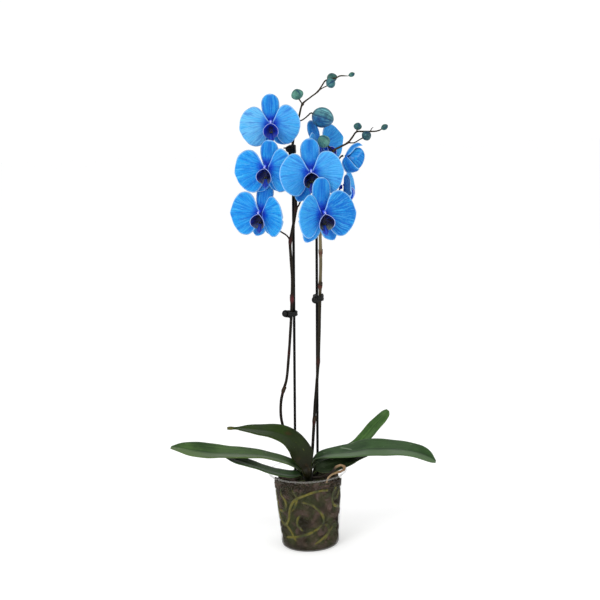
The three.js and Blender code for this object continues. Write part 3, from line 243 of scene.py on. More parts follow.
        {"at": [-1.6, -1.4, 607.0], "rx": 4.2, "ry": 8.4, "height": 12, "lobe": [-5.0, -10.2, 0.8], "lobeR": 5.0, "tabs": [[[-6, -10, 1.4], [-12.9, -10.6, 2.6], 3.2, 0.8], [[-3, -10.6, -2], [-4.0, -11.2, -9.8], 3.6, 0.9], [[-2, -10.6, 4], [1.2, -11.2, 8.2], 2.6, 1.4]]},
    ],
    "roots": [
        [[-172, 92, 0], [-140, 84, 0], [-108, 70, 0], [-80, 50, 0], [-58, 38, 0], [-46, 47, 0], [-37, 70, 0], [-25, 84, 0], [-9, 91, 0], [13, 97, 0], [36, 96, 0]],
        [[58, 96, 0], [47, 84, 0], [52, 70, 0], [70, 62, 0], [92, 58, 0], [120, 66, 0], [150, 60, 0], [176, 40, 0], [205, 28, 0], [232, 24, 0]],
        [[-57, 97, 0], [-58, 88, 0], [-47, 79, 0], [-50, 66, 0], [-66, 60, 0], [-86, 74, 2], [-108, 92, 5.6], [-136, 66, 5.6], [-160, 36, 5.6], [-132, 16, 5.6], [-98, 14, 1], [-50, 20, 0], [-12, 27, 0], [14, 36, 0], [28, 48, 0], [20, 64, 0], [4, 77, 0], [-11, 81, 0]],
    ],
    "aerial": [
        [7.2, -11.0, 107.6],
        [21.7, -22.0, 112.1],
        [36.1, -33.0, 121.3],
        [43.5, -35.5, 130.3],
        [50.0, -36.0, 133.0],
        [55.2, -36.5, 130.8],
        [55.4, -36.5, 126.5],
        [49.6, -37.0, 123.6],
        [42.8, -38.0, 122.1],
        [35.1, -39.5, 119.2],
        [29.7, -40.3, 113.7],
        [28.0, -40.5, 107.6],
    ],
    "aerialr": [1.6, 2.4, 2.5, 2.3, 2.7, 2.6, 2.3, 1.9, 1.3],
}

# ---------------------------------------------------------------- curves
def crom(points, u):
    """Centripetal Catmull-Rom through points, u an array from 0 to 1."""
    P = np.asarray(points, float)
    n = len(P)
    u = np.atleast_1d(np.asarray(u, float))
    out = np.zeros((len(u), P.shape[1]))
    for k, t in enumerate(u):
        p = (n - 1) * min(max(t, 0.0), 1.0)
        i = min(int(p), n - 2)
        w = p - i
        p1, p2 = P[i], P[i + 1]
        p0 = P[i - 1] if i > 0 else 2 * p1 - p2
        p3 = P[i + 2] if i + 2 < n else 2 * p2 - p1
        d0 = max(np.linalg.norm(p1 - p0), 1e-6) ** 0.5
        d1 = max(np.linalg.norm(p2 - p1), 1e-6) ** 0.5
        d2 = max(np.linalg.norm(p3 - p2), 1e-6) ** 0.5
        t1 = ((p1 - p0) / d0 - (p2 - p0) / (d0 + d1) + (p2 - p1) / d1) * d1
        t2 = ((p2 - p1) / d1 - (p3 - p1) / (d1 + d2) + (p3 - p2) / d2) * d1
        c2 = -3 * p1 + 3 * p2 - 2 * t1 - t2
        c3 = 2 * p1 - 2 * p2 + t1 + t2
        out[k] = p1 + t1 * w + c2 * w * w + c3 * w**3
    return out


def table(rows, t):
    xs = [r[0] for r in rows]
    ys = [r[1] for r in rows]
    return np.interp(t, xs, ys)


def unit(v):
    v = np.asarray(v, float)
    n = np.linalg.norm(v, axis=-1, keepdims=True)
    return v / np.maximum(n, 1e-9)


def gauss(x, w):
    return np.exp(-((x / w) ** 2))


# ---------------------------------------------------------------- mesh collecting
class Part:
    """Vertices, faces and two vector attributes of one piece, gathered from shells."""

    def __init__(self):
        self.v, self.f, self.a, self.b = [], [], [], []
        self.n = 0

    def add(self, verts, faces, a=None, b=None):
        verts = np.asarray(verts, float).reshape(-1, 3)
        m = len(verts)
        za = np.zeros((m, 3))
        a = za if a is None else np.broadcast_to(np.asarray(a, float), (m, 3))
        b = za if b is None else np.broadcast_to(np.asarray(b, float), (m, 3))
        self.v.append(verts)
        self.a.append(a)
        self.b.append(b)
        self.f.extend([tuple(i + self.n for i in f) for f in faces])
        self.n += m
        return self

    def make(self, name, mat, node=None, slot=None, smooth=True, turn=True):
        me = bpy.data.meshes.new(name)
        me.from_pydata((np.concatenate(self.v) * MM).tolist(), [], self.f)
        for tag, data in (("pa", self.a), ("pb", self.b)):
            at = me.attributes.new(tag, "FLOAT_VECTOR", "POINT")
            at.data.foreach_set("vector", np.concatenate(data).astype(np.float32).ravel())
        if turn:
            bm = bmesh.new()
            bm.from_mesh(me)
            bmesh.ops.recalc_face_normals(bm, faces=bm.faces)
            bm.to_mesh(me)
            bm.free()
        me.polygons.foreach_set("use_smooth", [smooth] * len(me.polygons))
        me.update()
        return place(name, me, mat, node)


def place(name, me, mat, node=None):
    ob = bpy.data.objects.new(name, me)
    scene.collection.objects.link(ob)
    if mat is not None:
        me.materials.append(mat)
    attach(ob, "root")
    if node:
        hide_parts(node)
    return ob


def grid_normals(P):
    du = np.gradient(P, axis=0)
    dv = np.gradient(P, axis=1)
    return unit(np.cross(du, dv))


def sheet(part, P, T, A, B, face=None):
    """A thin closed skin round a grid P, T thick, its two faces meeting at the rim.
    A and B are the attribute grids; B's x is set to 1 on the side that looks along face."""
    nu, nv = P.shape[:2]
    N = grid_normals(P)
    if face is not None and (N.reshape(-1, 3) @ np.asarray(face)).mean() < 0:
        N = -N
    top = P + N * T[..., None] / 2
    bot = P - N * T[..., None] / 2
    edge = np.zeros((nu, nv), bool)
    edge[0, :] = edge[-1, :] = True
    edge[:, 0] = edge[:, -1] = True
    top[edge] = P[edge]
    low = np.arange(nu * nv).reshape(nu, nv)
    lid = low.copy()
    inner = ~edge
    lid[inner] = nu * nv + np.arange(inner.sum())
    verts = np.concatenate([top.reshape(-1, 3), bot[inner]])
    Bt = B.copy()
    Bt[..., 0] = 1
    Bt[edge, 0] = 0.6
    Bb = B.copy()
    Bb[..., 0] = 0
    a = np.concatenate([A.reshape(-1, 3), A[inner]])
    b = np.concatenate([Bt.reshape(-1, 3), Bb[inner]])
    faces = []
    for i in range(nu - 1):
        for j in range(nv - 1):
            faces.append((low[i, j], low[i + 1, j], low[i + 1, j + 1], low[i, j + 1]))
            faces.append((lid[i, j + 1], lid[i + 1, j + 1], lid[i + 1, j], lid[i, j]))
    part.add(verts, faces, a, b)


def frames(C):
    """Tangents and two side directions along the points C, without twist."""
    t = unit(np.gradient(C, axis=0))
    side = np.array([0, 0, 1.0]) if abs(t[0, 2]) < 0.9 else np.array([0, -1.0, 0])
    S, O = [], []
    for k in range(len(C)):
        side = side - t[k] * (side @ t[k])
        side = side / np.linalg.norm(side)
        S.append(side)
        O.append(np.cross(t[k], side))
    return t, np.array(S), np.array(O)


def tube(part, points, radii, sides=14, steps=None, shape=None, a=None, b=None, ends=True, straight=False):
    """A closed round bar. shape(u, ang) multiplies the radius; pa gets (mm along, angle, u)."""
    P = np.asarray(points, float)
    if straight:
        steps = steps or 2
        C = P[0] + (P[-1] - P[0]) * np.linspace(0, 1, steps + 1)[:, None]
    else:
        steps = steps or max(4, int(np.linalg.norm(np.diff(P, axis=0), axis=1).sum() / 3.0))
        C = crom(P, np.linspace(0, 1, steps + 1))
    u = np.linspace(0, 1, steps + 1)
    R = np.interp(u, np.linspace(0, 1, len(radii)), radii)
    t, S, O = frames(C)
    ang = np.arange(sides) * 2 * math.pi / sides
    rad = R[:, None] * np.ones(sides)[None]
    if shape is not None:
        rad = rad * shape(u[:, None], ang[None, :])
    ring = C[:, None] + rad[..., None] * (
        np.cos(ang)[None, :, None] * S[:, None] + np.sin(ang)[None, :, None] * O[:, None]
    )
    along = np.concatenate([[0], np.cumsum(np.linalg.norm(np.diff(C, axis=0), axis=1))])
    A = np.zeros((steps + 1, sides, 3))
    A[..., 0] = along[:, None]
    A[..., 1] = ang[None]
    A[..., 2] = u[:, None]
    verts = ring.reshape(-1, 3)
    av = A.reshape(-1, 3)
    faces = []
    for i in range(steps):
        for j in range(sides):
            k = (j + 1) % sides
            faces.append((i * sides + j, i * sides + k, (i + 1) * sides + k, (i + 1) * sides + j))
    if ends:
        n = len(verts)
        e0 = C[0] - t[0] * R[0] * 0.35
        e1 = C[-1] + t[-1] * R[-1] * 0.35
        verts = np.concatenate([verts, [e0, e1]])
        av = np.concatenate([av, [av[0], av[-1]]])
        for j in range(sides):
            k = (j + 1) % sides
            faces.append((n, k, j))
            faces.append((n + 1, steps * sides + j, steps * sides + k))
    if a is not None:
        av = a(av)
    bv = np.zeros_like(av) if b is None else b(av, verts)
    part.add(verts, faces, av, bv)
    return C, t, S, O, u


def rings_body(part, rings, first, last, A, a0, a1, B=None, b0=None, b1=None):
    """Closed skin through rings, with a point at each end."""
    n, m = rings.shape[:2]
    verts = np.concatenate([rings.reshape(-1, 3), [first, last]])
    av = np.concatenate([A.reshape(-1, 3), [a0, a1]])
    bv = None
    if B is not None:
        bv = np.concatenate([B.reshape(-1, 3), [b0, b1]])
    faces = []
    for i in range(n - 1):
        for j in range(m):
            k = (j + 1) % m
            faces.append((i * m + j, i * m + k, (i + 1) * m + k, (i + 1) * m + j))
    for j in range(m):
        k = (j + 1) % m
        faces.append((n * m, k, j))
        faces.append((n * m + 1, (n - 1) * m + j, (n - 1) * m + k))
    part.add(verts, faces, av, bv)


# ---------------------------------------------------------------- shader helper
def lin(c):
    """sRGB 0-255 to linear with alpha."""
    out = []
    for v in c[:3]:
        v = v / 255
        out.append(v / 12.92 if v <= 0.04045 else ((v + 0.055) / 1.055) ** 2.4)
    return (*out, 1.0)


class Mat:
    def __init__(self, name):
        self.m = bpy.data.materials.new(name)
        self.m.use_nodes = True
        self.t = self.m.node_tree
        self.t.nodes.clear()
        self.out = self.t.nodes.new("ShaderNodeOutputMaterial")
        self.p = self.t.nodes.new("ShaderNodeBsdfPrincipled")
        self.t.links.new(self.p.outputs[0], self.out.inputs[0])
        self._attr = {}

    def put(self, socket, v):
        if isinstance(v, bpy.types.NodeSocket):
            self.t.links.new(v, socket)
        elif v is not None:
            if hasattr(socket.default_value, "__len__") and not hasattr(v, "__len__"):
                v = [v] * len(socket.default_value)
            if hasattr(socket.default_value, "__len__"):
                v = list(v)[: len(socket.default_value)]
            socket.default_value = v

    def set(self, **kw):
        names = {
            "color": "Base Color",
            "rough": "Roughness",
            "ior": "IOR",
            "alpha": "Alpha",
            "normal": "Normal",
            "spec": "Specular IOR Level",
            "coat": "Coat Weight",
            "coat_rough": "Coat Roughness",
            "sheen": "Sheen Weight",
            "sheen_rough": "Sheen Roughness",
            "sheen_tint": "Sheen Tint",
            "sss": "Subsurface Weight",
            "sss_scale": "Subsurface Scale",
            "sss_radius": "Subsurface Radius",
            "trans": "Transmission Weight",
        }
        for k, v in kw.items():
            self.put(self.p.inputs[names[k]], v)

    def math(self, op, a, b=None, c=None, clamp=False):
        n = self.t.nodes.new("ShaderNodeMath")
        n.operation = op
        n.use_clamp = clamp
        for s, v in zip(n.inputs, (a, b, c)):
            self.put(s, v)
        return n.outputs[0]

    def add(self, a, b):
        return self.math("ADD", a, b)

    def sub(self, a, b):
        return self.math("SUBTRACT", a, b)

    def mul(self, a, b):
        return self.math("MULTIPLY", a, b)

    def vec(self, x, y, z):
        n = self.t.nodes.new("ShaderNodeCombineXYZ")
        for s, v in zip(n.inputs, (x, y, z)):
            self.put(s, v)
        return n.outputs[0]

    def sep(self, v):
        n = self.t.nodes.new("ShaderNodeSeparateXYZ")
        self.put(n.inputs[0], v)
        return n.outputs

    def attr(self, name):
        if name not in self._attr:
            n = self.t.nodes.new("ShaderNodeAttribute")
            n.attribute_name = name
            self._attr[name] = (n, self.sep(n.outputs["Vector"]))
        return self._attr[name][1]

    def obj(self):
        if "__co" not in self._attr:
            n = self.t.nodes.new("ShaderNodeTexCoord")
            self._attr["__co"] = n.outputs["Object"]
        return self._attr["__co"]

    def noise(self, v, scale=5.0, detail=3.0, rough=0.5, warp=0.0, color=False):
        n = self.t.nodes.new("ShaderNodeTexNoise")
        self.put(n.inputs["Vector"], v)
        self.put(n.inputs["Scale"], scale)
        self.put(n.inputs["Detail"], detail)
        self.put(n.inputs["Roughness"], rough)
        self.put(n.inputs["Distortion"], warp)
        return n.outputs["Color" if color else "Fac"]

    def voronoi(self, v, scale, feature="F1", out="Distance", rand=1.0):
        n = self.t.nodes.new("ShaderNodeTexVoronoi")
        n.feature = feature
        self.put(n.inputs["Vector"], v)
        self.put(n.inputs["Scale"], scale)
        self.put(n.inputs["Randomness"], rand)
        return n.outputs[out]

    def ramp(self, f, stops, mode="LINEAR"):
        n = self.t.nodes.new("ShaderNodeValToRGB")
        self.put(n.inputs[0], f)
        r = n.color_ramp
        r.interpolation = mode
        while len(r.elements) < len(stops):
            r.elements.new(0.5)
        for e, (p, c) in zip(r.elements, stops):
            e.position = p
            e.color = c if len(c) == 4 else (*c, 1)
        return n.outputs[0]

    def smooth(self, f, lo, hi, a=0.0, b=1.0):
        n = self.t.nodes.new("ShaderNodeMapRange")
        n.interpolation_type = "SMOOTHSTEP"
        n.clamp = True
        for s, v in zip(n.inputs[:5], (f, lo, hi, a, b)):
            self.put(s, v)
        return n.outputs[0]

    def mix(self, f, a, b, mode="MIX"):
        n = self.t.nodes.new("ShaderNodeMix")
        n.data_type = "RGBA"
        n.blend_type = mode
        n.clamp_factor = True
        self.put(n.inputs["Factor"], f)
        self.put(n.inputs[6], a)
        self.put(n.inputs[7], b)
        return n.outputs[2]

    def bump(self, h, strength=0.3, dist=0.0005, normal=None):
        n = self.t.nodes.new("ShaderNodeBump")
        self.put(n.inputs["Strength"], strength)
        self.put(n.inputs["Distance"], dist)
        self.put(n.inputs["Height"], h)
        if normal is not None:
            self.put(n.inputs["Normal"], normal)
        return n.outputs[0]

    def layer(self, blend=0.4):
        n = self.t.nodes.new("ShaderNodeLayerWeight")
        n.inputs[0].default_value = blend
        return n.outputs["Facing"]


# ---------------------------------------------------------------- materials
def petal_material(name, front_mid, front_edge, heart, back, lengthwise):
    """pa: x from heart to tip 0-1, y fan angle (or across), z mm from the rim. pb: x front, y painted light and shade
    -1 to 1, z seed.
    """
    m = Mat(name)
    a, b = m.attr("pa"), m.attr("pb")
    # veins: long soft streaks that fan out, with finer ones between them towards the rim
    wob = m.mul(m.sub(m.noise(m.obj(), 60, 2), 0.5), 0.13)
    fan = m.add(a[1], wob)
    seed = m.mul(b[2], 7.3)
    streak = m.noise(m.vec(m.mul(fan, 10.0), m.mul(a[0], 1.3), seed), 1.0, 4, 0.66)
    fine = m.noise(m.vec(m.mul(fan, 30.0), m.mul(a[0], 2.2), seed), 1.0, 3, 0.6)
    lines = m.math("PINGPONG", m.add(m.mul(fan, 7.5), 50.0), 0.5)
    thin = m.smooth(lines, 0.0, 0.15, 1.0, 0.0)
    lines2 = m.math("PINGPONG", m.add(m.mul(fan, 15.0), 50.25), 0.5)
    thin2 = m.mul(m.smooth(lines2, 0.0, 0.18, 1.0, 0.0), m.smooth(a[0], 0.35, 0.6))
    vein = m.mul(m.add(m.mul(thin, 0.75), m.mul(thin2, 0.45)), m.smooth(streak, 0.3, 0.62))
    blot = m.noise(m.obj(), 38, 3, 0.55)
    mott = m.noise(m.obj(), 420, 3, 0.6)
    # painted light and shade per petal from pb.y: above 0 is painted light, below 0 painted shade
    painted_lit = m.smooth(b[1], 0.0, 1.0)
    painted_dim = m.smooth(b[1], 0.0, -1.0)
    # heart to rim
    grow = m.add(a[0], m.mul(m.sub(blot, 0.5), 0.2))
    halo = m.smooth(grow, 0.06, 0.42)
    body = m.mix(halo, heart, front_mid)
    body = m.mix(m.mul(m.smooth(grow, 0.5, 1.0), 0.5), body, front_edge)
    # painted highlight towards a pale blue and painted shade towards a deep blue
    light = m.mix(m.smooth(a[0], 0.0, 0.3), lin((30, 108, 212)), lin((104, 182, 229)))
    body = m.mix(m.mul(painted_lit, m.smooth(a[0], 0.08, 0.5, 0.1, 1.0)), body, light)
    body = m.mix(m.mul(painted_dim, 0.9), body, lin((2, 92, 176)))
    # pale streaks on the blue, blue ones between them
    body = m.mix(m.mul(m.smooth(streak, 0.49, 0.62), m.smooth(a[0], 0.1, 0.4, 0.1, 0.6)), body, lin((42, 162, 224)))
    body = m.mix(m.mul(m.smooth(fine, 0.52, 0.64), m.smooth(a[0], 0.1, 0.4, 0.05, 0.42)), body, lin((88, 188, 234)))
    body = m.mix(m.smooth(streak, 0.47, 0.36, 0.0, 0.55), body, lin((0, 78, 180)))
    body = m.mix(m.smooth(fine, 0.46, 0.34, 0.0, 0.35), body, lin((0, 84, 184)))
    body = m.mix(m.mul(vein, m.smooth(a[0], 0.15, 0.95, 0.7, 0.35)), body, lin((0, 62, 172)))
    body = m.mix(m.smooth(grow, 0.40, 0.12, 0.0, 0.72), body, m.mix(m.smooth(grow, 0.1, 0.3), lin((4, 26, 168)), lin((0, 70, 200))))
    body = m.mix(m.mul(m.smooth(mott, 0.42, 0.72), 0.07), body, lin((150, 204, 238)))
    if lengthwise:
        # the middle of a sepal is a deeper blue than its sides
        midband = m.mul(m.smooth(m.math("ABSOLUTE", a[1]), 0.42, 0.05), m.smooth(a[0], 0.2, 0.75))
        body = m.mix(m.mul(midband, 0.6), body, lin((2, 82, 180)))
    # rim: thin bleached edge
    rimw = m.add(a[2], m.mul(m.sub(m.noise(m.obj(), 190, 2), 0.5), 0.9))
    body = m.mix(m.smooth(rimw, 3.4, 1.2, 0.0, 0.3), body, lin((88, 156, 226)))
    body = m.mix(m.smooth(rimw, 1.9, 0.6, 0.0, 0.85), body, lin((146, 196, 240)))
    behind = m.mix(m.mul(m.add(vein, m.smooth(streak, 0.45, 0.7)), 0.4), back, lin((14, 84, 190)))
    behind = m.mix(m.smooth(a[0], 0.0, 0.3, 0.5, 0.0), behind, lin((40, 76, 146)))
    behind = m.mix(m.smooth(rimw, 1.2, 0.4, 0.0, 0.6), behind, lin((140, 186, 236)))
    col = m.mix(m.smooth(b[0], 0.25, 0.5), behind, body)
    h = m.add(m.mul(vein, -0.8), m.add(m.mul(streak, 0.9), m.mul(mott, 0.35)))
    m.set(
        color=col,
        rough=m.smooth(streak, 0.2, 0.8, 0.66, 0.5),
        spec=0.12,
        sheen=0.04,
        sheen_rough=0.4,
        sheen_tint=(0.6, 0.8, 1.0, 1),
        sss=0.04,
        sss_radius=(0.3, 0.6, 1.0),
        sss_scale=0.001,
        normal=m.bump(h, 0.45, 0.0007),
    )
    return m.m


PETAL = petal_material("petal", lin((0, 130, 214)), lin((28, 154, 224)), lin((2, 34, 184)), lin((46, 126, 196)), False)
SEPAL = petal_material("sepal", lin((0, 120, 204)), lin((28, 148, 218)), lin((2, 40, 176)), lin((42, 118, 186)), True)


def lip_material():
    """pa: x depth 0 centre - 1 rim, y angle from the top, z mm from the rim.
    pb: x inside, y part (0 to 0.3 bowl and its blueness, 1 middle lobe, 2 callus), z seed."""
    m = Mat("lip")
    a, b = m.attr("pa"), m.attr("pb")
    n = m.noise(m.obj(), 260, 4, 0.6)
    st = m.noise(m.vec(m.mul(a[1], 5.0), m.mul(a[0], 1.4), b[2]), 1.0, 3, 0.6)
    blue = m.smooth(b[1], 0.0, 0.3)
    foot = m.smooth(m.math("ABSOLUTE", m.sub(a[1], math.pi)), 1.5, 0.5)
    # painted shade: the bowl darkens to near black towards its centre, over the lip's own deep blue
    hollow_shade = m.mix(blue, lin((3, 4, 9)), lin((6, 9, 44)))
    wall = m.mix(blue, lin((6, 10, 64)), lin((10, 40, 168)))
    deep = m.mix(m.smooth(a[0], m.mix(blue, (0.55,) * 3 + (1,), (0.12,) * 3 + (1,)), 0.97), hollow_shade, wall)
    deep = m.mix(m.mul(m.smooth(st, 0.45, 0.68), m.smooth(b[1], 0.0, 0.3, 0.25, 0.6)), deep, lin((16, 56, 190)))
    deep = m.mix(m.mul(m.smooth(st, 0.46, 0.3), 0.6), deep, lin((6, 6, 34)))
    olive = m.mul(m.mul(foot, m.smooth(a[0], 0.45, 0.85)), m.smooth(n, 0.3, 0.6))
    deep = m.mix(m.mul(olive, m.smooth(b[1], 0.0, 0.3, 0.75, 0.25)), deep, lin((104, 116, 84)))
    outside = m.mix(m.smooth(st, 0.3, 0.7), lin((10, 70, 206)), lin((44, 124, 232)))
    col = m.mix(m.smooth(b[0], 0.3, 0.6), outside, deep)
    lobe = m.mix(m.smooth(st, 0.35, 0.7), lin((4, 20, 118)), lin((18, 72, 190)))
    col = m.mix(m.smooth(b[1], 0.4, 0.6), col, lobe)
    knob = m.mix(m.smooth(n, 0.35, 0.65), lin((18, 22, 24)), lin((70, 76, 54)))
    col = m.mix(m.smooth(b[1], 1.4, 1.6), col, knob)
    rimw = m.add(a[2], m.mul(m.sub(m.noise(m.obj(), 240, 2), 0.5), 0.7))
    open_foot = m.smooth(m.math("ABSOLUTE", m.sub(a[1], math.pi)), 0.25, 0.6)
    col = m.mix(m.mul(m.smooth(rimw, 1.6, 0.6), m.mul(open_foot, m.mul(m.mix(foot, (0.95,) * 3 + (1,), (0.6,) * 3 + (1,)), m.smooth(b[1], 0.4, 0.6, 1.0, 0.12)))), col, m.mix(foot, lin((176, 192, 244)), lin((92, 104, 112))))
    m.set(
        color=col,
        rough=m.smooth(n, 0.3, 0.7, 0.4, 0.55),
        spec=0.22,
        normal=m.bump(m.add(m.mul(n, 0.6), st), 0.3, 0.0005),
    )
    return m.m


LIP = lip_material()


def column_material():
    """pa: x mm along, y angle, z 0 base - 1 tip."""
    m = Mat("column")
    a = m.attr("pa")
    n = m.noise(m.obj(), 420, 3, 0.6)
    t = m.add(a[2], m.mul(m.sub(n, 0.5), 0.25))
    col = m.ramp(t, [(0.0, lin((8, 36, 176))), (0.45, lin((20, 60, 208))), (0.72, lin((92, 116, 232))), (1.0, lin((168, 176, 232)))])
    col = m.mix(m.smooth(n, 0.55, 0.75, 0.0, 0.5), col, lin((96, 70, 200)))
    m.set(color=col, rough=m.smooth(n, 0.3, 0.7, 0.4, 0.55), spec=0.2, sss=0.05, sss_scale=0.001, normal=m.bump(n, 0.25, 0.0004))
    return m.m


COLUMN = column_material()


def bud_material():
    """pa: x 0 foot - 1 tip, y angle, z seam depth. pb: x blueness, y painted light and shade (below 0 painted shade),
    z seed.
    """
    m = Mat("bud")
    a, b = m.attr("pa"), m.attr("pb")
    st = m.noise(m.vec(m.mul(m.math("SINE", a[1]), 5.5), m.mul(a[0], 1.1), m.add(m.mul(m.math("COSINE", a[1]), 5.5), b[2])), 1.6, 4, 0.62)
    blot = m.noise(m.obj(), 120, 3, 0.6)
    mott = m.noise(m.obj(), 900, 2, 0.6)
    green = m.mix(m.smooth(blot, 0.35, 0.7), lin((44, 92, 78)), lin((88, 142, 124)))
    green = m.mix(m.smooth(a[0], 0.75, 1.0, 0.0, 0.5), green, lin((48, 84, 66)))
    blue = m.mix(m.smooth(blot, 0.3, 0.7), lin((14, 62, 118)), lin((40, 112, 158)))
    col = m.mix(b[0], green, blue)
    # painted highlight where pb.y is above 0, painted shade where it is below
    col = m.mix(m.smooth(b[1], 0.0, 1.0, 0.0, 0.85), col, lin((128, 196, 200)))
    col = m.mix(m.smooth(b[1], 0.0, -1.0, 0.0, 0.8), col, lin((18, 44, 44)))
    col = m.mix(m.smooth(st, 0.52, 0.74, 0.0, 0.5), col, lin((122, 182, 178)))
    col = m.mix(m.smooth(st, 0.48, 0.28, 0.0, 0.62), col, lin((14, 50, 84)))
    col = m.mix(m.smooth(mott, 0.6, 0.8, 0.0, 0.25), col, lin((150, 200, 190)))
    # painted shade: the seam grooves are darkened
    col = m.mix(m.smooth(a[2], 0.1, 0.8, 0.0, 0.9), col, lin((12, 50, 92)))
    col = m.mix(m.smooth(a[0], 0.12, 0.0, 0.0, 0.6), col, lin((56, 58, 44)))
    m.set(
        color=col,
        rough=m.smooth(blot, 0.3, 0.7, 0.42, 0.58),
        spec=0.22,
        normal=m.bump(m.add(st, m.mul(mott, 0.4)), 0.5, 0.0007),
    )
    return m.m


BUD_MAT = bud_material()


def leaf_material():
    """pa: x 0 base - 1 tip, y -1 far edge - 1 near edge, z mm from the edge.
    pb: x upper side, y leaf number, z mm along."""
    m = Mat("leaf")
    a, b = m.attr("pa"), m.attr("pb")
    seed = m.mul(b[1], 3.7)
    warp = m.mul(m.sub(m.noise(m.obj(), 22, 2), 0.5), 0.05)
    across = m.add(a[1], warp)
    lines = m.noise(m.vec(m.mul(across, 26.0), m.mul(b[2], 0.012), seed), 1.0, 3, 0.65)
    fineln = m.noise(m.vec(m.mul(across, 70.0), m.mul(b[2], 0.02), seed), 1.0, 2, 0.6)
    blot = m.noise(m.obj(), 24, 4, 0.6)
    mott = m.noise(m.obj(), 130, 4, 0.62)
    cell = m.voronoi(m.obj(), 1500)
    # per leaf tone: 1 l1, 2 l2, 3 l3, 4 r1, 5 r2, 6 r3
    n = b[1]

    def is_leaf(k):
        return m.math("COMPARE", n, float(k), 0.3)

    # leaf r3 gets darker colours: painted shade, as it lies under r1
    dark = m.mix(is_leaf(6), lin((40, 72, 34)), lin((20, 38, 18)))
    dark = m.mix(is_leaf(2), dark, lin((34, 62, 34)))
    dark = m.mix(is_leaf(3), dark, lin((42, 70, 28)))
    dark = m.mix(is_leaf(5), dark, lin((44, 84, 38)))
    pale = m.mix(is_leaf(6), lin((84, 118, 72)), lin((44, 62, 36)))
    pale = m.mix(is_leaf(2), pale, lin((74, 100, 68)))
    pale = m.mix(is_leaf(3), pale, lin((66, 100, 44)))
    pale = m.mix(is_leaf(5), pale, lin((92, 134, 76)))
    col = m.mix(m.smooth(m.add(m.mul(blot, 0.6), m.mul(lines, 0.4)), 0.36, 0.64), dark, pale)
    col = m.mix(m.smooth(lines, 0.52, 0.75, 0.0, 0.35), col, lin((120, 150, 100)))
    col = m.mix(m.smooth(fineln, 0.46, 0.25, 0.0, 0.35), col, lin((28, 50, 26)))
    col = m.mix(m.smooth(mott, 0.58, 0.8, 0.0, 0.3), col, lin((116, 146, 92)))
    # painted sheen: the near half of the side leaves is greyer and lighter
    near = m.smooth(across, 0.12, 0.35)
    col = m.mix(m.mul(m.mul(near, is_leaf(4)), 0.55), col, lin((128, 156, 116)))
    col = m.mix(m.mul(m.mul(near, is_leaf(1)), 0.5), col, lin((112, 132, 108)))
    # painted shade: the midrib groove is darkened
    rib = m.smooth(m.math("ABSOLUTE", a[1]), 0.05, 0.0)
    col = m.mix(m.mul(rib, 0.5), col, lin((30, 48, 26)))
    # darker and browner towards the base, on the arched leaf most of all
    baseb = m.add(a[0], m.mul(m.sub(blot, 0.5), 0.2))
    col = m.mix(m.mul(m.smooth(baseb, 0.6, 0.16), m.mul(is_leaf(3), 0.9)), col, lin((36, 34, 20)))
    col = m.mix(m.smooth(baseb, 0.2, 0.02, 0.0, 0.75), col, lin((24, 26, 14)))
    col = m.mix(m.mul(m.smooth(m.noise(m.obj(), 42, 3), 0.6, 0.75), m.mul(is_leaf(3), 0.5)), col, lin((96, 62, 40)))
    # dried tip of the arched leaf
    col = m.mix(m.mul(m.smooth(a[0], 0.93, 0.965), is_leaf(3)), col, m.mix(mott, lin((70, 72, 62)), lin((158, 158, 142))))
    # thin pale edge, scars and dust specks
    edge = m.add(a[2], m.mul(m.sub(mott, 0.5), 0.6))
    col = m.mix(m.smooth(edge, 1.0, 0.35, 0.0, 0.55), col, lin((96, 118, 70)))
    speck = m.mul(m.smooth(m.voronoi(m.obj(), 170), 0.1, 0.045), m.smooth(m.noise(m.obj(), 36, 2), 0.55, 0.68))
    col = m.mix(m.mul(speck, 0.6), col, lin((150, 142, 100)))
    scr = m.noise(m.vec(m.mul(a[1], 5.0), m.mul(b[2], 0.09), m.add(seed, 4.0)), 1.0, 2, 0.4)
    scratch = m.mul(m.smooth(scr, 0.70, 0.76), 0.55)
    col = m.mix(scratch, col, lin((150, 162, 140)))
    # one grey rub across the right leaf
    u1 = m.math("SUBTRACT", b[2], 62.0)
    line = m.math("ABSOLUTE", m.add(m.mul(u1, -0.028), m.add(a[1], 0.42)))
    rub = m.mul(m.mul(m.smooth(line, 0.10, 0.02), m.smooth(m.math("ABSOLUTE", u1), 9.0, 5.0)), is_leaf(4))
    col = m.mix(m.mul(rub, 0.7), col, lin((176, 188, 172)))
    under = m.mix(m.smooth(blot, 0.35, 0.65), lin((70, 92, 58)), lin((104, 122, 84)))
    under = m.mix(m.smooth(lines, 0.5, 0.75, 0.0, 0.4), under, lin((92, 60, 72)))
    under = m.mix(m.smooth(baseb, 0.3, 0.0, 0.0, 0.8), under, lin((44, 34, 30)))
    # painted shade on the undersides of r3 and the arched l3
    under = m.mix(m.mul(m.math("MAXIMUM", is_leaf(6), is_leaf(3)), 0.6), under, lin((28, 42, 20)))
    col = m.mix(m.smooth(b[0], 0.3, 0.55), under, col)
    # shade of each leaf
    tone = m.mix(is_leaf(1), (0.56, 0.60, 0.44, 1), (0.72, 0.74, 0.46, 1))
    tone = m.mix(is_leaf(3), tone, (0.37, 0.36, 0.09, 1))
    tone = m.mix(is_leaf(2), tone, (0.52, 0.58, 0.44, 1))
    tone = m.mix(is_leaf(4), tone, (0.48, 0.54, 0.44, 1))
    tone = m.mix(is_leaf(5), tone, (0.62, 0.64, 0.44, 1))
    tone = m.mix(is_leaf(6), tone, (0.60, 0.54, 0.50, 1))
    col = m.mix(1.0, col, tone, "MULTIPLY")
    h = m.add(m.mul(lines, 0.7), m.add(m.mul(cell, 0.12), m.mul(mott, 0.5)))
    m.set(
        color=col,
        rough=m.add(m.smooth(blot, 0.3, 0.7, 0.38, 0.52), m.mul(speck, 0.2)),
        spec=0.17,
        normal=m.bump(h, 0.35, 0.0006),
    )
    return m.m


LEAF = leaf_material()


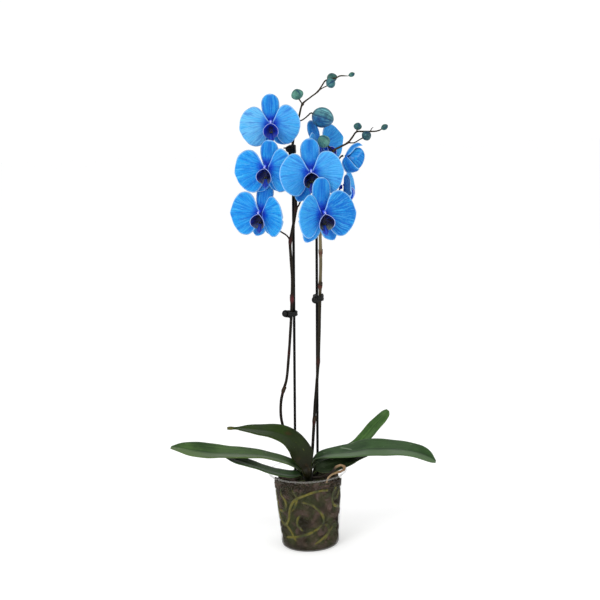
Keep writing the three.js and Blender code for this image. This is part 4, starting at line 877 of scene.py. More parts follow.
def stem_material(name, base, other, tip, red):
    """pa: x mm along, y angle, z 0 foot - 1 end. pb: x near a joint, y tone, z bract."""
    m = Mat(name)
    a, b = m.attr("pa"), m.attr("pb")
    ring = m.vec(m.mul(m.math("SINE", a[1]), 2.2), m.mul(a[0], 0.035), m.mul(m.math("COSINE", a[1]), 2.2))
    st = m.noise(ring, 1.6, 4, 0.6)
    blot = m.noise(m.obj(), 34, 3, 0.6)
    speck = m.noise(m.obj(), 700, 2, 0.6)
    col = m.mix(m.smooth(st, 0.35, 0.68), base, other)
    col = m.mix(m.mul(b[1], m.smooth(blot, 0.25, 0.6, 0.5, 1.0)), col, tip)
    col = m.mix(m.smooth(speck, 0.58, 0.75, 0.0, 0.3), col, lin((96, 84, 58)))
    col = m.mix(m.smooth(speck, 0.42, 0.25, 0.0, 0.35), col, lin((28, 20, 16)))
    col = m.mix(m.mul(b[0], 0.85), col, red)
    dry = m.mix(m.smooth(st, 0.35, 0.65), lin((52, 40, 32)), lin((96, 80, 60)))
    col = m.mix(m.mul(b[2], 0.75), col, dry)
    m.set(
        color=col,
        rough=m.smooth(blot, 0.3, 0.7, 0.5, 0.66),
        spec=0.1,
        normal=m.bump(m.add(st, m.mul(speck, 0.4)), 0.35, 0.0004),
    )
    return m.m


STEM1 = stem_material("stem_one", lin((12, 9, 7)), lin((33, 25, 18)), lin((56, 52, 35)), lin((84, 34, 38)))
STEM2 = stem_material("stem_two", lin((10, 8, 6)), lin((26, 21, 16)), lin((112, 102, 76)), lin((76, 32, 30)))


def stake_material():
    m = Mat("stake")
    a = m.attr("pa")
    ring = m.vec(m.mul(m.math("SINE", a[1]), 3.0), m.mul(a[0], 0.02), m.mul(m.math("COSINE", a[1]), 3.0))
    st = m.noise(ring, 2.4, 4, 0.65)
    sc = m.noise(m.obj(), 240, 3, 0.6)
    col = m.mix(m.smooth(st, 0.35, 0.7), lin((3, 3, 3)), lin((14, 12, 10)))
    col = m.mix(m.smooth(sc, 0.62, 0.8, 0.0, 0.4), col, lin((36, 32, 27)))
    m.set(color=col, rough=m.smooth(st, 0.3, 0.7, 0.46, 0.62), spec=0.08, normal=m.bump(m.add(st, sc), 0.3, 0.0004))
    return m.m


def clip_material():
    m = Mat("clip")
    n = m.noise(m.obj(), 320, 3, 0.6)
    sc = m.noise(m.obj(), 60, 2, 0.6)
    col = m.mix(m.smooth(n, 0.35, 0.7), lin((3, 3, 3)), lin((12, 12, 11)))
    col = m.mix(m.smooth(sc, 0.6, 0.8, 0.0, 0.3), col, lin((46, 45, 43)))
    m.set(color=col, rough=m.smooth(n, 0.3, 0.7, 0.34, 0.46), spec=0.22, normal=m.bump(n, 0.2, 0.0003))
    return m.m


STAKE = stake_material()
CLIP = clip_material()


def pot_material():
    """Clear, slightly hazy injection-moulded plastic. pa: x angle, y height mm, z 1 at rim and foot."""
    m = Mat("pot_plastic")
    a = m.attr("pa")
    flow = m.noise(m.vec(m.mul(m.math("SINE", a[0]), 3.2), m.mul(a[1], 0.012), m.mul(m.math("COSINE", a[0]), 3.2)), 2.0, 4, 0.6)
    haze = m.noise(m.obj(), 26, 4, 0.6)
    spot = m.noise(m.obj(), 210, 3, 0.6)
    al = m.add(m.smooth(haze, 0.3, 0.7, 0.07, 0.11), m.smooth(flow, 0.35, 0.7, 0.0, 0.02))
    front = m.smooth(m.math("SINE", a[0]), 0.1, -0.35)
    al = m.mul(al, m.math("MAXIMUM", m.smooth(a[1], 104.0, 97.0, 0.14, 1.0), m.mul(front, 1.0)))
    al = m.add(al, m.mul(m.smooth(a[1], 14.0, 2.0), 0.3))
    al = m.add(al, m.mul(a[2], m.smooth(m.math("SINE", a[0]), 0.1, -0.35, 0.13, 0.26)))
    al = m.math("MINIMUM", al, 0.7)
    col = m.mix(m.smooth(flow, 0.3, 0.7), lin((60, 55, 45)), lin((76, 71, 60)))
    col = m.mix(m.smooth(a[1], 76.0, 108.0, 0.0, 0.6), col, lin((92, 82, 76)))
    col = m.mix(m.mul(m.smooth(spot, 0.5, 0.8), 0.3), col, lin((108, 102, 90)))
    # painted highlight on the rim: light grey, partly the haze of the thicker plastic
    col = m.mix(m.mul(a[2], m.smooth(a[1], 60.0, 100.0)), col, lin((150, 148, 144)))
    col = m.mix(m.smooth(a[1], 10.0, 2.0, 0.0, 0.7), col, lin((52, 46, 30)))
    m.set(
        color=col,
        alpha=al,
        rough=m.smooth(haze, 0.3, 0.7, 0.34, 0.46),
        spec=0.12,
        normal=m.bump(haze, 0.03, 0.0005),
    )
    return m.m


POT = pot_material()


def bark_material():
    """pb: x tone, y purple, z moss."""
    m = Mat("bark")
    b = m.attr("pb")
    co = m.obj()
    grain = m.noise(m.vec(m.mul(m.sep(co)[0], 2.0), m.mul(m.sep(co)[1], 2.0), m.sep(co)[2]), 90, 2, 0.5)
    rough_n = m.noise(co, 260, 2, 0.5)
    big = m.noise(co, 16, 3, 0.5)
    patch = m.noise(co, 62, 3, 0.55)
    col = m.mix(b[0], lin((40, 34, 26)), lin((72, 63, 50)))
    col = m.mix(m.mul(b[1], 0.6), col, lin((66, 52, 48)))
    patch2 = m.noise(co, 48, 2, 0.5)
    col = m.mix(m.smooth(patch, 0.5, 0.62, 0.0, 0.75), col, lin((106, 86, 80)))
    col = m.mix(m.smooth(patch, 0.48, 0.38, 0.0, 0.8), col, lin((18, 17, 12)))
    col = m.mix(m.smooth(patch2, 0.54, 0.64, 0.0, 0.65), col, lin((66, 76, 44)))
    col = m.mix(m.smooth(grain, 0.5, 0.3, 0.0, 0.3), col, lin((22, 18, 13)))
    col = m.mix(m.smooth(rough_n, 0.55, 0.78, 0.0, 0.12), col, lin((88, 80, 60)))
    col = m.mix(m.smooth(big, 0.5, 0.36, 0.0, 0.4), col, lin((26, 30, 16)))
    moss = m.mul(b[2], m.smooth(m.noise(co, 52, 3), 0.42, 0.62))
    col = m.mix(m.mul(moss, 0.8), col, m.mix(rough_n, lin((32, 40, 20)), lin((66, 74, 40))))
    m.set(color=col, rough=m.smooth(grain, 0.3, 0.7, 0.82, 0.94), spec=0.06, normal=m.bump(m.add(grain, m.mul(rough_n, 0.3)), 0.12, 0.0004))
    return m.m


def root_material(name, one, two, tip, grit):
    m = Mat(name)
    a = m.attr("pa")
    ring = m.vec(m.mul(m.math("SINE", a[1]), 2.0), m.mul(a[0], 0.05), m.mul(m.math("COSINE", a[1]), 2.0))
    st = m.noise(ring, 1.5, 4, 0.65)
    big = m.noise(m.obj(), 46, 3, 0.55)
    fine_n = m.noise(m.obj(), 620, 3, 0.6)
    col = m.mix(m.smooth(big, 0.36, 0.64), one, two)
    col = m.mix(m.smooth(st, 0.5, 0.74, 0.0, 0.6), col, tip)
    col = m.mix(m.smooth(fine_n, 0.5, 0.28, 0.0, 0.5), col, grit)
    m.set(color=col, rough=m.smooth(st, 0.3, 0.7, 0.55, 0.75), spec=0.3, normal=m.bump(m.add(st, m.mul(fine_n, 0.25)), 0.3, 0.0006))
    return m


BARK = bark_material()
ROOT = root_material("root_green", lin((40, 56, 24)), lin((116, 110, 34)), lin((124, 122, 62)), lin((34, 42, 18))).m
_dry = root_material("root_dry", lin((118, 92, 62)), lin((160, 134, 100)), lin((196, 174, 140)), lin((84, 60, 38)))
_a = _dry.attr("pa")
_dark = _dry.mix(_dry.smooth(_a[2], 0.22, 0.34), lin((34, 26, 18)), _dry.p.inputs["Base Color"].links[0].from_socket)
_dry.set(color=_dark)
DRY = _dry.m


def crown_material():
    m = Mat("crown")
    a = m.attr("pa")
    ring = m.vec(m.mul(m.math("SINE", a[1]), 2.6), m.mul(a[0], 0.03), m.mul(m.math("COSINE", a[1]), 2.6))
    st = m.noise(ring, 2.0, 4, 0.65)
    n = m.noise(m.obj(), 90, 4, 0.6)
    col = m.mix(m.smooth(n, 0.35, 0.65), lin((14, 13, 9)), lin((32, 34, 20)))
    col = m.mix(m.smooth(st, 0.55, 0.75, 0.0, 0.4), col, lin((70, 60, 42)))
    m.set(color=col, rough=m.smooth(n, 0.3, 0.7, 0.5, 0.75), spec=0.35, normal=m.bump(m.add(st, n), 0.6, 0.001))
    return m.m


CROWN_MAT = crown_material()

# ---------------------------------------------------------------- pot
def wall_r(z):
    return 45 + 9 * (z - 8) / 102


POT_PROFILE = [
    (0, 0), (20, 0), (38, 0), (40, 0.05), (41.6, 0.45), (42.8, 1.3), (43.7, 2.5), (44.3, 4), (44.7, 6), (45, 8),
    (wall_r(20), 20), (wall_r(40), 40), (wall_r(60), 60), (wall_r(80), 80), (wall_r(100), 100), (54, 110),
    (54.3, 111.3), (54.8, 112.4), (56.6, 113.5), (59.3, 114.3), (60.2, 114.7), (60.5, 115.2), (60.5, 116.6),
    (60.25, 117.05), (59.8, 117.2), (58.4, 116.9), (55.4, 115.6), (53.9, 114.4), (52.9, 112.6), (52.8, 110),
    (wall_r(100) - 1.2, 100), (wall_r(80) - 1.2, 80), (wall_r(60) - 1.2, 60), (wall_r(40) - 1.2, 40), (wall_r(20) - 1.2, 20),
    (43.8, 8), (43.1, 5), (41.2, 2.4), (39, 1.6), (20, 1.6), (0, 1.6),
]


def build_pot():
    seg = 120
    prof = POT_PROFILE[1:-1]
    n = len(prof)
    ang = np.arange(seg) * 2 * math.pi / seg
    verts, pa, faces = [], [], []
    for r, z in prof:
        for t in ang:
            verts.append((r * math.cos(t), r * math.sin(t), z))
            # pa.z marks the rim and foot: more opacity there, and the painted rim highlight
            thick = 1.0 if z > 114.5 and r > 58 else (0.6 if z < 3.2 else 0.0)
            pa.append((t, z, thick))
    for i in range(n - 1):
        for j in range(seg):
            k = (j + 1) % seg
            faces.append((i * seg + j, i * seg + k, (i + 1) * seg + k, (i + 1) * seg + j))
    base = len(verts)
    verts += [(0, 0, 0), (0, 0, 1.6)]
    pa += [(0, 0, 0.4), (0, 1.6, 0.4)]
    for j in range(seg):
        k = (j + 1) % seg
        faces.append((base, k, j))
        faces.append((base + 1, (n - 1) * seg + j, (n - 1) * seg + k))
    part = Part().add(verts, faces, np.array(pa))
    pot = part.make("pot_clear", POT, "pot", "pot_plastic")
    # drain holes in the base and slots at the foot
    cut = Part()
    for i in range(6):
        t = math.pi * (2 * i + 1) / 6
        tube(cut, [(27 * math.cos(t), 27 * math.sin(t), -2), (27 * math.cos(t), 27 * math.sin(t), 4)], [3.4, 3.4], 20, 1, straight=True)
        t = math.pi * 2 * i / 6 - math.pi / 2 - 0.06
        tube(cut, [(43.5 * math.cos(t), 43.5 * math.sin(t), -2), (43.5 * math.cos(t), 43.5 * math.sin(t), 5.2)], [2.6, 2.6], 16, 1, straight=True, ends=True)
    me = bpy.data.meshes.new("drill")
    me.from_pydata((np.concatenate(cut.v) * MM).tolist(), [], cut.f)
    bm = bmesh.new()
    bm.from_mesh(me)
    bmesh.ops.recalc_face_normals(bm, faces=bm.faces)
    bm.to_mesh(me)
    bm.free()
    drill = bpy.data.objects.new("drill", me)
    scene.collection.objects.link(drill)
    mod = pot.modifiers.new("holes", "BOOLEAN")
    mod.operation = "DIFFERENCE"
    mod.solver = "EXACT"
    mod.object = drill
    dg = bpy.context.evaluated_depsgraph_get()
    new = bpy.data.meshes.new_from_object(pot.evaluated_get(dg))
    pot.modifiers.clear()
    pot.data = new
    bpy.data.objects.remove(drill)
    new.polygons.foreach_set("use_smooth", [True] * len(new.polygons))
    new.set_sharp_from_angle(angle=math.radians(38))
    return pot


build_pot()

# ---------------------------------------------------------------- roots
ROOT_R = 2.3


def root_r(z):
    return wall_r(z) - 1.2 - ROOT_R - 0.5


def wall_path(rows):
    return [((root_r(z) - d) * math.sin(g * RAD), -(root_r(z) - d) * math.cos(g * RAD), z) for g, z, d in rows]


def knobbly(seed, amount=0.1):
    r = np.random.default_rng(seed)
    ph = r.uniform(0, 6.28, 6)

    def f(u, ang):
        return (
            1
            + amount * 0.6 * np.sin(u * 31 + ph[0])
            + amount * 0.5 * np.sin(u * 67 + ph[1] + ang)
            + amount * 0.35 * np.sin(2 * ang + ph[2] + u * 22)
            + amount * 0.25 * np.sin(3 * ang + ph[3] - u * 40)
        )

    return f


ROOT_PATHS = []
for k, rows in enumerate(T["roots"]):
    part = Part()
    path = wall_path(rows)
    C, *_ = tube(part, path, [2.1, 2.35, 2.2, 2.3, 1.9], 12, int(18 * (len(rows) - 1) / 2), knobbly(k + 3, 0.07))
    ROOT_PATHS.append(C)
    r = np.random.default_rng(50 + k)
    part.make("root_" + "abc"[k] + "_fine", ROOT, "root_" + "abc"[k], "root_green")

AER = T["aerial"]
part = Part()
tube(part, AER, [1.3, 1.7, 1.9, 1.8, 2.1, 1.9, 1.6, 1.3, 0.9], 16, 70, knobbly(9, 0.16))
part.make("root_aerial_fine", DRY, "root_aerial", "root_dry")

# ---------------------------------------------------------------- bark mix
EXTRA_ROOTS = [
    # slimmer roots seen between the chips, by degrees from the front, height and depth behind the wall
    [(-30, 99, 1.5), (-22, 88, 0.2), (-26, 74, 0.2), (-38, 62, 2), (-52, 54, 3)],
    [(62, 40, 2), (44, 30, 0.4), (30, 22, 0.2), (14, 14, 0.4), (-8, 9, 2.0)],
    [(26, 14, 1.5), (36, 22, 0.3), (40, 34, 0.3), (30, 42, 1.5), (20, 45, 4)],
    [(-66, 46, 2), (-52, 40, 0.4), (-40, 30, 0.4), (-34, 20, 0.4), (-22, 12, 2)],
    [(-14, 62, 1.5), (-22, 55, 0.3), (-24, 44, 0.3), (-14, 34, 1.5), (-6, 30, 4)],
    [(84, 90, 2), (70, 84, 0.3), (58, 78, 0.2), (50, 82, 2), (44, 88, 4)],
    [(110, 40, 2), (128, 44, 0.3), (146, 34, 0.3), (160, 20, 0.3), (178, 14, 2)],
    [(190, 90, 2), (206, 78, 0.3), (222, 60, 0.3), (240, 50, 0.3), (262, 48, 2)],
    [(96, 98, 2), (112, 88, 0.3), (130, 86, 0.3), (150, 94, 2)],
    [(250, 96, 2), (268, 84, 0.3), (282, 70, 0.3), (280, 54, 2)],
]


def build_medium():
    part = Part()
    slim = []
    for k, rows in enumerate(EXTRA_ROOTS):
        path = [((wall_r(z) - 1.2 - 2.0 - d) * math.sin(g * RAD), -(wall_r(z) - 1.2 - 2.0 - d) * math.cos(g * RAD), z) for g, z, d in rows]
        slim.append(path)
    # dark core behind the chips
    seg = 48
    rows = [(40.4, 2.0), (42.3, 5.2), (wall_r(9) - 2.8, 9), (wall_r(30) - 3.0, 30), (wall_r(54) - 3.0, 54), (wall_r(94) - 3.0, 94), (wall_r(98) - 3.6, 98.2), (36, 98.8), (14, 99.5)]
    rings = np.array([[(r * math.cos(2 * math.pi * j / seg), r * math.sin(2 * math.pi * j / seg), z) for j in range(seg)] for r, z in rows])
    B = np.zeros((len(rows), seg, 3))
    B[..., 0] = 0.35
    B[..., 1] = 0.4
    B[..., 2] = 0.7
    rings_body(part, rings, (0, 0, 2.0), (0, 0, 100), np.zeros_like(B), (0, 0, 0), (0, 0, 0), B, (0, 0, 0), (0, 0, 0))
    paths = np.concatenate([c for c in ROOT_PATHS] + [crom(p, np.linspace(0, 1, 40)) for p in slim])

    # chips: small rough blocks, wedged at random angles
    cube = []
    nx, ny, nz = 4, 3, 2
    idx = {}
    fs = []

    def vid(i, j, k):
        key = (i, j, k)
        if key not in idx:
            idx[key] = len(cube)
            cube.append((i / nx * 2 - 1, j / ny * 2 - 1, k / nz * 2 - 1))
        return idx[key]

    for i in range(nx):
        for j in range(ny):
            fs.append((vid(i, j, 0), vid(i, j + 1, 0), vid(i + 1, j + 1, 0), vid(i + 1, j, 0)))
            fs.append((vid(i, j, nz), vid(i + 1, j, nz), vid(i + 1, j + 1, nz), vid(i, j + 1, nz)))
    for i in range(nx):
        for k in range(nz):
            fs.append((vid(i, 0, k), vid(i + 1, 0, k), vid(i + 1, 0, k + 1), vid(i, 0, k + 1)))
            fs.append((vid(i, ny, k), vid(i, ny, k + 1), vid(i + 1, ny, k + 1), vid(i + 1, ny, k)))
    for j in range(ny):
        for k in range(nz):
            fs.append((vid(0, j, k), vid(0, j, k + 1), vid(0, j + 1, k + 1), vid(0, j + 1, k)))
            fs.append((vid(nx, j, k), vid(nx, j + 1, k), vid(nx, j + 1, k + 1), vid(nx, j, k + 1)))
    cube = np.array(cube)

    def chip(centre, normal, size, top):
        n = unit(normal + rng.normal(0, 0.28, 3))
        t = unit(np.cross(n, rng.normal(0, 1, 3)))
        s = np.cross(n, t)
        v = cube.copy()
        # round the plan, taper the thickness, roughen
        rad = np.maximum(np.abs(v[:, 0]), np.abs(v[:, 1]))
        v[:, 0] *= 1 - 0.16 * v[:, 1] ** 2
        v[:, 1] *= 1 - 0.28 * v[:, 0] ** 2
        v[:, 2] *= 1 - 0.35 * rad**2
        v += rng.normal(0, 0.085, v.shape)
        v[:, 0] += rng.uniform(-0.3, 0.3) * v[:, 1]
        p = centre + v[:, :1] * size[0] * t + v[:, 1:2] * size[1] * s + v[:, 2:] * size[2] * n
        r = np.hypot(p[:, 0], p[:, 1])
        z = np.clip(p[:, 2], 3.2, 104.5 if top else 100)
        p[:, 2] = z
        lim = wall_r(np.maximum(z, 8)) - 1.2 - 0.35
        lim = np.where(z < 9, np.minimum(lim, 39.2 + (z - 3.2) * 0.72), lim)
        d = np.sqrt(((p[:, None] - paths[None]) ** 2).sum(-1)).min(1)
        near = d < 4.0
        lim = np.where(near, np.minimum(lim, wall_r(z) - 1.2 - 5.0), lim)
        f = np.minimum(1, lim / np.maximum(r, 1e-6))
        p[:, 0] *= f
        p[:, 1] *= f
        tone = float(np.clip(rng.normal(0.42, 0.28), 0, 1))
        part.add(p, fs, None, (tone, float(rng.uniform(0, 1) ** 1.5), float(rng.uniform(0, 1) ** 1.2)))

    for k in range(520):
        z = rng.uniform(4, 99)
        g = rng.uniform(0, 2 * math.pi)
        size = (rng.uniform(4, 9.5), rng.uniform(3, 6), rng.uniform(1.4, 2.6))
        r = wall_r(max(z, 8)) - 1.2 - size[2] - rng.uniform(0.2, 3.0)
        chip(np.array([r * math.cos(g), r * math.sin(g), z]), np.array([math.cos(g), math.sin(g), 0]), size, False)
    for k in range(190):
        g = rng.uniform(0, 2 * math.pi)
        r = 50 * math.sqrt(rng.uniform(0.03, 1))
        size = (rng.uniform(4, 9), rng.uniform(3, 5.5), rng.uniform(1.4, 2.6))
        chip(np.array([r * math.cos(g), r * math.sin(g), 99.2 + rng.uniform(-1, 2.4)]), np.array([0, 0, 1.0]), size, True)
    for k in range(60):
        g = rng.uniform(0, 2 * math.pi)
        r = 36 * math.sqrt(rng.uniform(0.03, 1))
        size = (rng.uniform(4, 9), rng.uniform(3, 5.5), rng.uniform(1.0, 1.8))
        chip(np.array([r * math.cos(g), r * math.sin(g), 4.6]), np.array([0, 0, 1.0]), size, False)
    part.make("bark_chips", BARK, "medium", "bark", smooth=False)

    thin = Part()
    for k, path in enumerate(slim):
        tube(thin, path, [1.2, 1.8, 1.9, 1.7, 1.0], 10, 44, knobbly(80 + k, 0.09))
    thin.make("roots_slim", ROOT, None, "root_green")


build_medium()

# ---------------------------------------------------------------- stakes
for k, (foot, head) in enumerate((T["stake1"], T["stake2"])):
    foot, head = np.array(foot), np.array(head)
    f = (22 - foot[2]) / (head[2] - foot[2])
    low = foot + (head - foot) * f
    part = Part()
    rr = np.random.default_rng(5 + k)
    knots = np.sort(rr.uniform(0.1, 0.95, 5))

    def shape(u, ang, knots=knots):
        s = 1 + 0.015 * np.sin(ang * 5 + u * 9)
        for q in knots:
            s = s + 0.07 * gauss(u - q, 0.003)
        return s

    tube(part, [low, head], [2.0] * 8 + [1.95], 16, 260, shape, straight=True)
    part.make(f"stake_{k + 1}_fine", STAKE, f"stake_{k + 1}", "stake")

# ---------------------------------------------------------------- crown and leaves
CROWN = [(0, -2, 90), (0, -2, 100), (0.5, -2.5, 110), (0.8, -3, 120), (1, -3.5, 127), (1, -3.8, 130)]
part = Part()


def crown_shape(u, ang):
    s = 1 + 0.05 * np.sin(3 * ang + 4 * u)
    for k, q in enumerate((0.3, 0.45, 0.6, 0.74, 0.87)):
        s = s + 0.1 * gauss(u - q - 0.03 * np.sin(ang + 2.4 * k), 0.02)
    return s


tube(part, CROWN, [5.4, 6.4, 7.1, 6.7, 5.2, 2.4], 28, 60, crown_shape)
part.make("crown_fine", CROWN_MAT, "crown", "crown")


def leaf(name, number, rows, fold, wave=0.0, roll=0.0, thick=2.3):
    rows = np.array(rows, float)
    # the base runs in to the crown and folds round it
    axis_pt = np.array([0.9, -3.2, 0.0])
    first = rows[0]
    mid = first.mean(0)
    inward = axis_pt - mid
    inward[2] = 0
    inward = unit(inward)
    down = np.array([0, 0, -1.0])
    base = []
    for q in (0.9, 0.45):
        e = first + (mid - first) * (0.35 * q) + inward * (4.4 * q) + down * (7.5 * q)
        base.append(e)
    rows = np.concatenate([np.array(base), rows])
    nb = len(base)
    nu, nv = 84, 19
    uu = np.linspace(0, 1, nu)
    far, near = crom(rows[:, 0], uu), crom(rows[:, 1], uu)
    along = unit(np.gradient(far + near, axis=0))
    across = near - far
    w = np.linalg.norm(across, axis=1)
    up = unit(np.cross(along, across))
    up[up[:, 2] < 0] *= -1
    s = 0.5 - 0.5 * np.cos(np.linspace(0, math.pi, nv)) * 1.0
    s = 0.45 * s + 0.55 * np.linspace(0, 1, nv)
    k = 2 * s - 1
    length = np.concatenate([[0], np.cumsum(np.linalg.norm(np.diff((far + near) / 2, axis=0), axis=1))])
    L = length[-1]
    t = length / L
    fold_u = fold + 0.22 * gauss(t, 0.10)
    sag = fold_u[:, None] * w[:, None] * (1 - np.abs(k)[None] ** 1.3)
    groove = 0.55 * gauss(k * w[:, None] / 2, 1.6) * np.clip(w[:, None] / 20, 0, 1) * np.clip((1 - t[:, None]) * 6, 0, 1)
    curl = roll * w[:, None] * np.abs(k)[None] ** 3
    ph = number * 1.7
    rip = wave * np.sin(t[:, None] * 17 + ph + 1.2 * k[None]) * np.abs(k)[None] ** 1.5 * np.clip(t[:, None] * 4, 0, 1)
    rip = rip + 0.35 * wave * np.sin(t[:, None] * 41 + ph * 2 - k[None] * 2) * np.abs(k)[None] ** 2
    P = far[:, None] + across[:, None] * s[None, :, None]
    P = P + up[:, None] * (-sag - groove - curl + rip)[..., None]
    rimd = np.minimum(1 - np.abs(k)[None], 1.0) * w[:, None] / 2
    tipd = (L - length)[:, None] * np.ones(nv)[None]
    edge = np.minimum(rimd, tipd * 0.9)
    T_ = thick * np.sqrt(np.clip(edge / 2.2, 0.02, 1))
    T_ = T_ + 1.3 * gauss(k * w[:, None] / 2, 2.2) * np.clip(1 - t[:, None] * 1.1, 0, 1)
    A = np.zeros((nu, nv, 3))
    A[..., 0] = t[:, None]
    A[..., 1] = k[None]
    A[..., 2] = edge
    B = np.zeros((nu, nv, 3))
    B[..., 1] = number
    B[..., 2] = length[:, None]
    part = Part()
    sheet(part, P, T_, A, B, face=up[nu // 3])
    return part.make(name + "_fine", LEAF, name, "leaf")


leaf("leaf_l1", 1, T["leaf_l1"], 0.09, 0.5, 0.02)
leaf("leaf_l2", 2, T["leaf_l2"], 0.08, 0.4, 0.02)
leaf("leaf_l3", 3, T["leaf_l3"], 0.08, 0.4, 0.02)
leaf("leaf_r1", 4, T["leaf_r1"], 0.08, 0.5, 0.02)
leaf("leaf_r2", 5, T["leaf_r2"], 0.10, 0.4, 0.02)
leaf("leaf_r3", 6, T["leaf_r3"], 0.08, 0.3, 0.02)

# ---------------------------------------------------------------- flowers
PETAL_UP = [(0.03, 0.02), (0.115, 0.16), (0.185, 0.32), (0.265, 0.47), (0.37, 0.58), (0.53, 0.62), (0.69, 0.56), (0.84, 0.42), (0.95, 0.22), (1.0, 0.02)]
PETAL_LOW = [(0.03, -0.06), (0.1, -0.22), (0.18, -0.42), (0.29, -0.6), (0.44, -0.705), (0.61, -0.69), (0.78, -0.57), (0.92, -0.36), (0.995, -0.12)]
DORSAL_W = [(0, 0.13), (0.12, 0.18), (0.25, 0.235), (0.4, 0.275), (0.55, 0.295), (0.7, 0.295), (0.82, 0.262), (0.92, 0.19), (0.98, 0.1), (1, 0.04)]
LATERAL_W = [(0, 0.07), (0.2, 0.17), (0.4, 0.24), (0.6, 0.27), (0.75, 0.25), (0.88, 0.17), (0.96, 0.09), (1, 0.03)]
# painted light and shade on each flower's left petal, right petal, upper and lower sepals, -1 shaded to 1 lit
PAINTED_LIGHT = {
    "a": (1.0, 0.45, 0.1, 0.2), "b": (0.1, 0.2, -0.05, 0.0), "c": (0.1, 0.0, -0.1, 0.0), "d": (0.35, 0.42, 0.2, -0.2),
    "e": (0.25, -0.7, 0.1, 0.2), "f": (0.2, 0.25, 0.0, -0.3), "g": (0.35, 0.35, 0.25, 0.25),
}
LIP_BLUE = {"a": 0.85, "b": 0.3, "c": 0.3, "d": 0.05, "e": 0.0, "f": 1.0, "g": 1.0}
SEED = {"a": 0.1, "b": 0.9, "c": 1.7, "d": 2.6, "e": 3.3, "f": 4.1, "g": 5.2}


def flower_frame(f):
    a, p, r = f["yaw"] * RAD, f["pitch"] * RAD, f["roll"] * RAD
    n = np.array([math.sin(a) * math.cos(p), -math.cos(a) * math.cos(p), math.sin(p)])
    u0 = np.array([math.cos(a), math.sin(a), 0])
    v0 = np.cross(n, u0)
    u = u0 * math.cos(r) + v0 * math.sin(r)
    v = v0 * math.cos(r) - u0 * math.sin(r)
    c = np.array(f["at"], float)

    def at(x, y, z):
        x, y, z = np.broadcast_arrays(np.asarray(x, float), y, z)
        return c + x[..., None] * u + y[..., None] * v + z[..., None] * n

    return at, n


def outline_distance(X, Y, loop):
    """Distance from points to a closed outline."""
    p = np.stack([X.ravel(), Y.ravel()], 1)
    a = loop
    b = np.roll(loop, -1, axis=0)
    best = np.full(len(p), 1e9)
    for q0, q1 in zip(a, b):
        d = q1 - q0
        L = max(d @ d, 1e-12)
        h = np.clip(((p - q0) @ d) / L, 0, 1)
        best = np.minimum(best, np.linalg.norm(p - q0 - h[:, None] * d, axis=1))
    return best.reshape(X.shape)


def petal(part, f, sign):
    k, cup, turn, wide = f["right"] if sign > 0 else f["left"]
    at, n = flower_frame(f)
    c, q = cup * RAD, turn * RAD
    nu, nv = 30, 27
    tt = np.linspace(0, 1, nu)
    tt = 0.6 * tt + 0.4 * np.sin(tt * math.pi / 2)
    up = crom(PETAL_UP, tt)
    lo = crom(PETAL_LOW, tt)
    s = np.linspace(-1, 1, nv)
    s = 0.7 * s + 0.3 * np.sin(s * math.pi / 2)
    seed = SEED[f["id"]] + (0.4 if sign > 0 else 0.0)
    # slight notches and swells of the rim
    wob = 0.007 * np.sin(tt * 17 + seed * 9) + 0.003 * np.sin(tt * 37 + seed * 5)
    up = up * (1 + wob[:, None] * np.clip(tt * 3, 0, 1)[:, None])
    lo = lo * (1 + (0.007 * np.sin(tt * 17 + seed * 4 + 2) + 0.003 * np.sin(tt * 37 + seed))[:, None] * np.clip(tt * 3, 0, 1)[:, None])
    G = up[:, None] + (lo - up)[:, None] * ((s + 1) / 2)[None, :, None]
    px, py = G[..., 0], G[..., 1]
    X, Y = px * k, py * k * wide
    loop = np.concatenate([np.stack([up[:, 0] * k, up[:, 1] * k * wide], 1), np.stack([lo[::-1, 0] * k, lo[::-1, 1] * k * wide], 1)])
    edge = outline_distance(X, Y, loop)
    edge[0, :] = 4
    x = X * math.cos(q) - Y * math.sin(q)
    y = X * math.sin(q) + Y * math.cos(q)
    t2 = tt[:, None]
    soft = np.minimum(1, t2 / 0.3)
    z = 0.5 - 3.0 * s[None] ** 2 * soft - 2.5 * t2**3
    rim = np.clip(1 - edge / 12, 0, 1) ** 1.6
    ang = np.arctan2(Y, X)
    z = z + rim * np.clip(t2 * 3, 0, 1) * (0.7 * np.sin(ang * 4.5 + seed * 6) + 0.25 * np.sin(ang * 10 + seed * 3))
    z = z - 0.5 * gauss(s[None] + 0.02, 0.09) * np.clip(1.1 - t2, 0, 1) * np.clip(t2 * 6, 0, 1)
    P = at(sign * x * math.cos(c), y, z + x * math.sin(c))
    T_ = 1.05 * np.sqrt(np.clip(edge / 2.4, 0.02, 1))
    A = np.zeros((nu, nv, 3))
    A[..., 0] = np.hypot(X, Y) / k
    A[..., 1] = np.arctan2(Y, X + 0.10 * k)
    A[..., 2] = edge
    B = np.zeros((nu, nv, 3))
    # painted light and shade of this petal
    B[..., 1] = PAINTED_LIGHT[f["id"]][1 if sign > 0 else 0]
    B[..., 2] = seed
    sheet(part, P, T_, A, B, face=n)


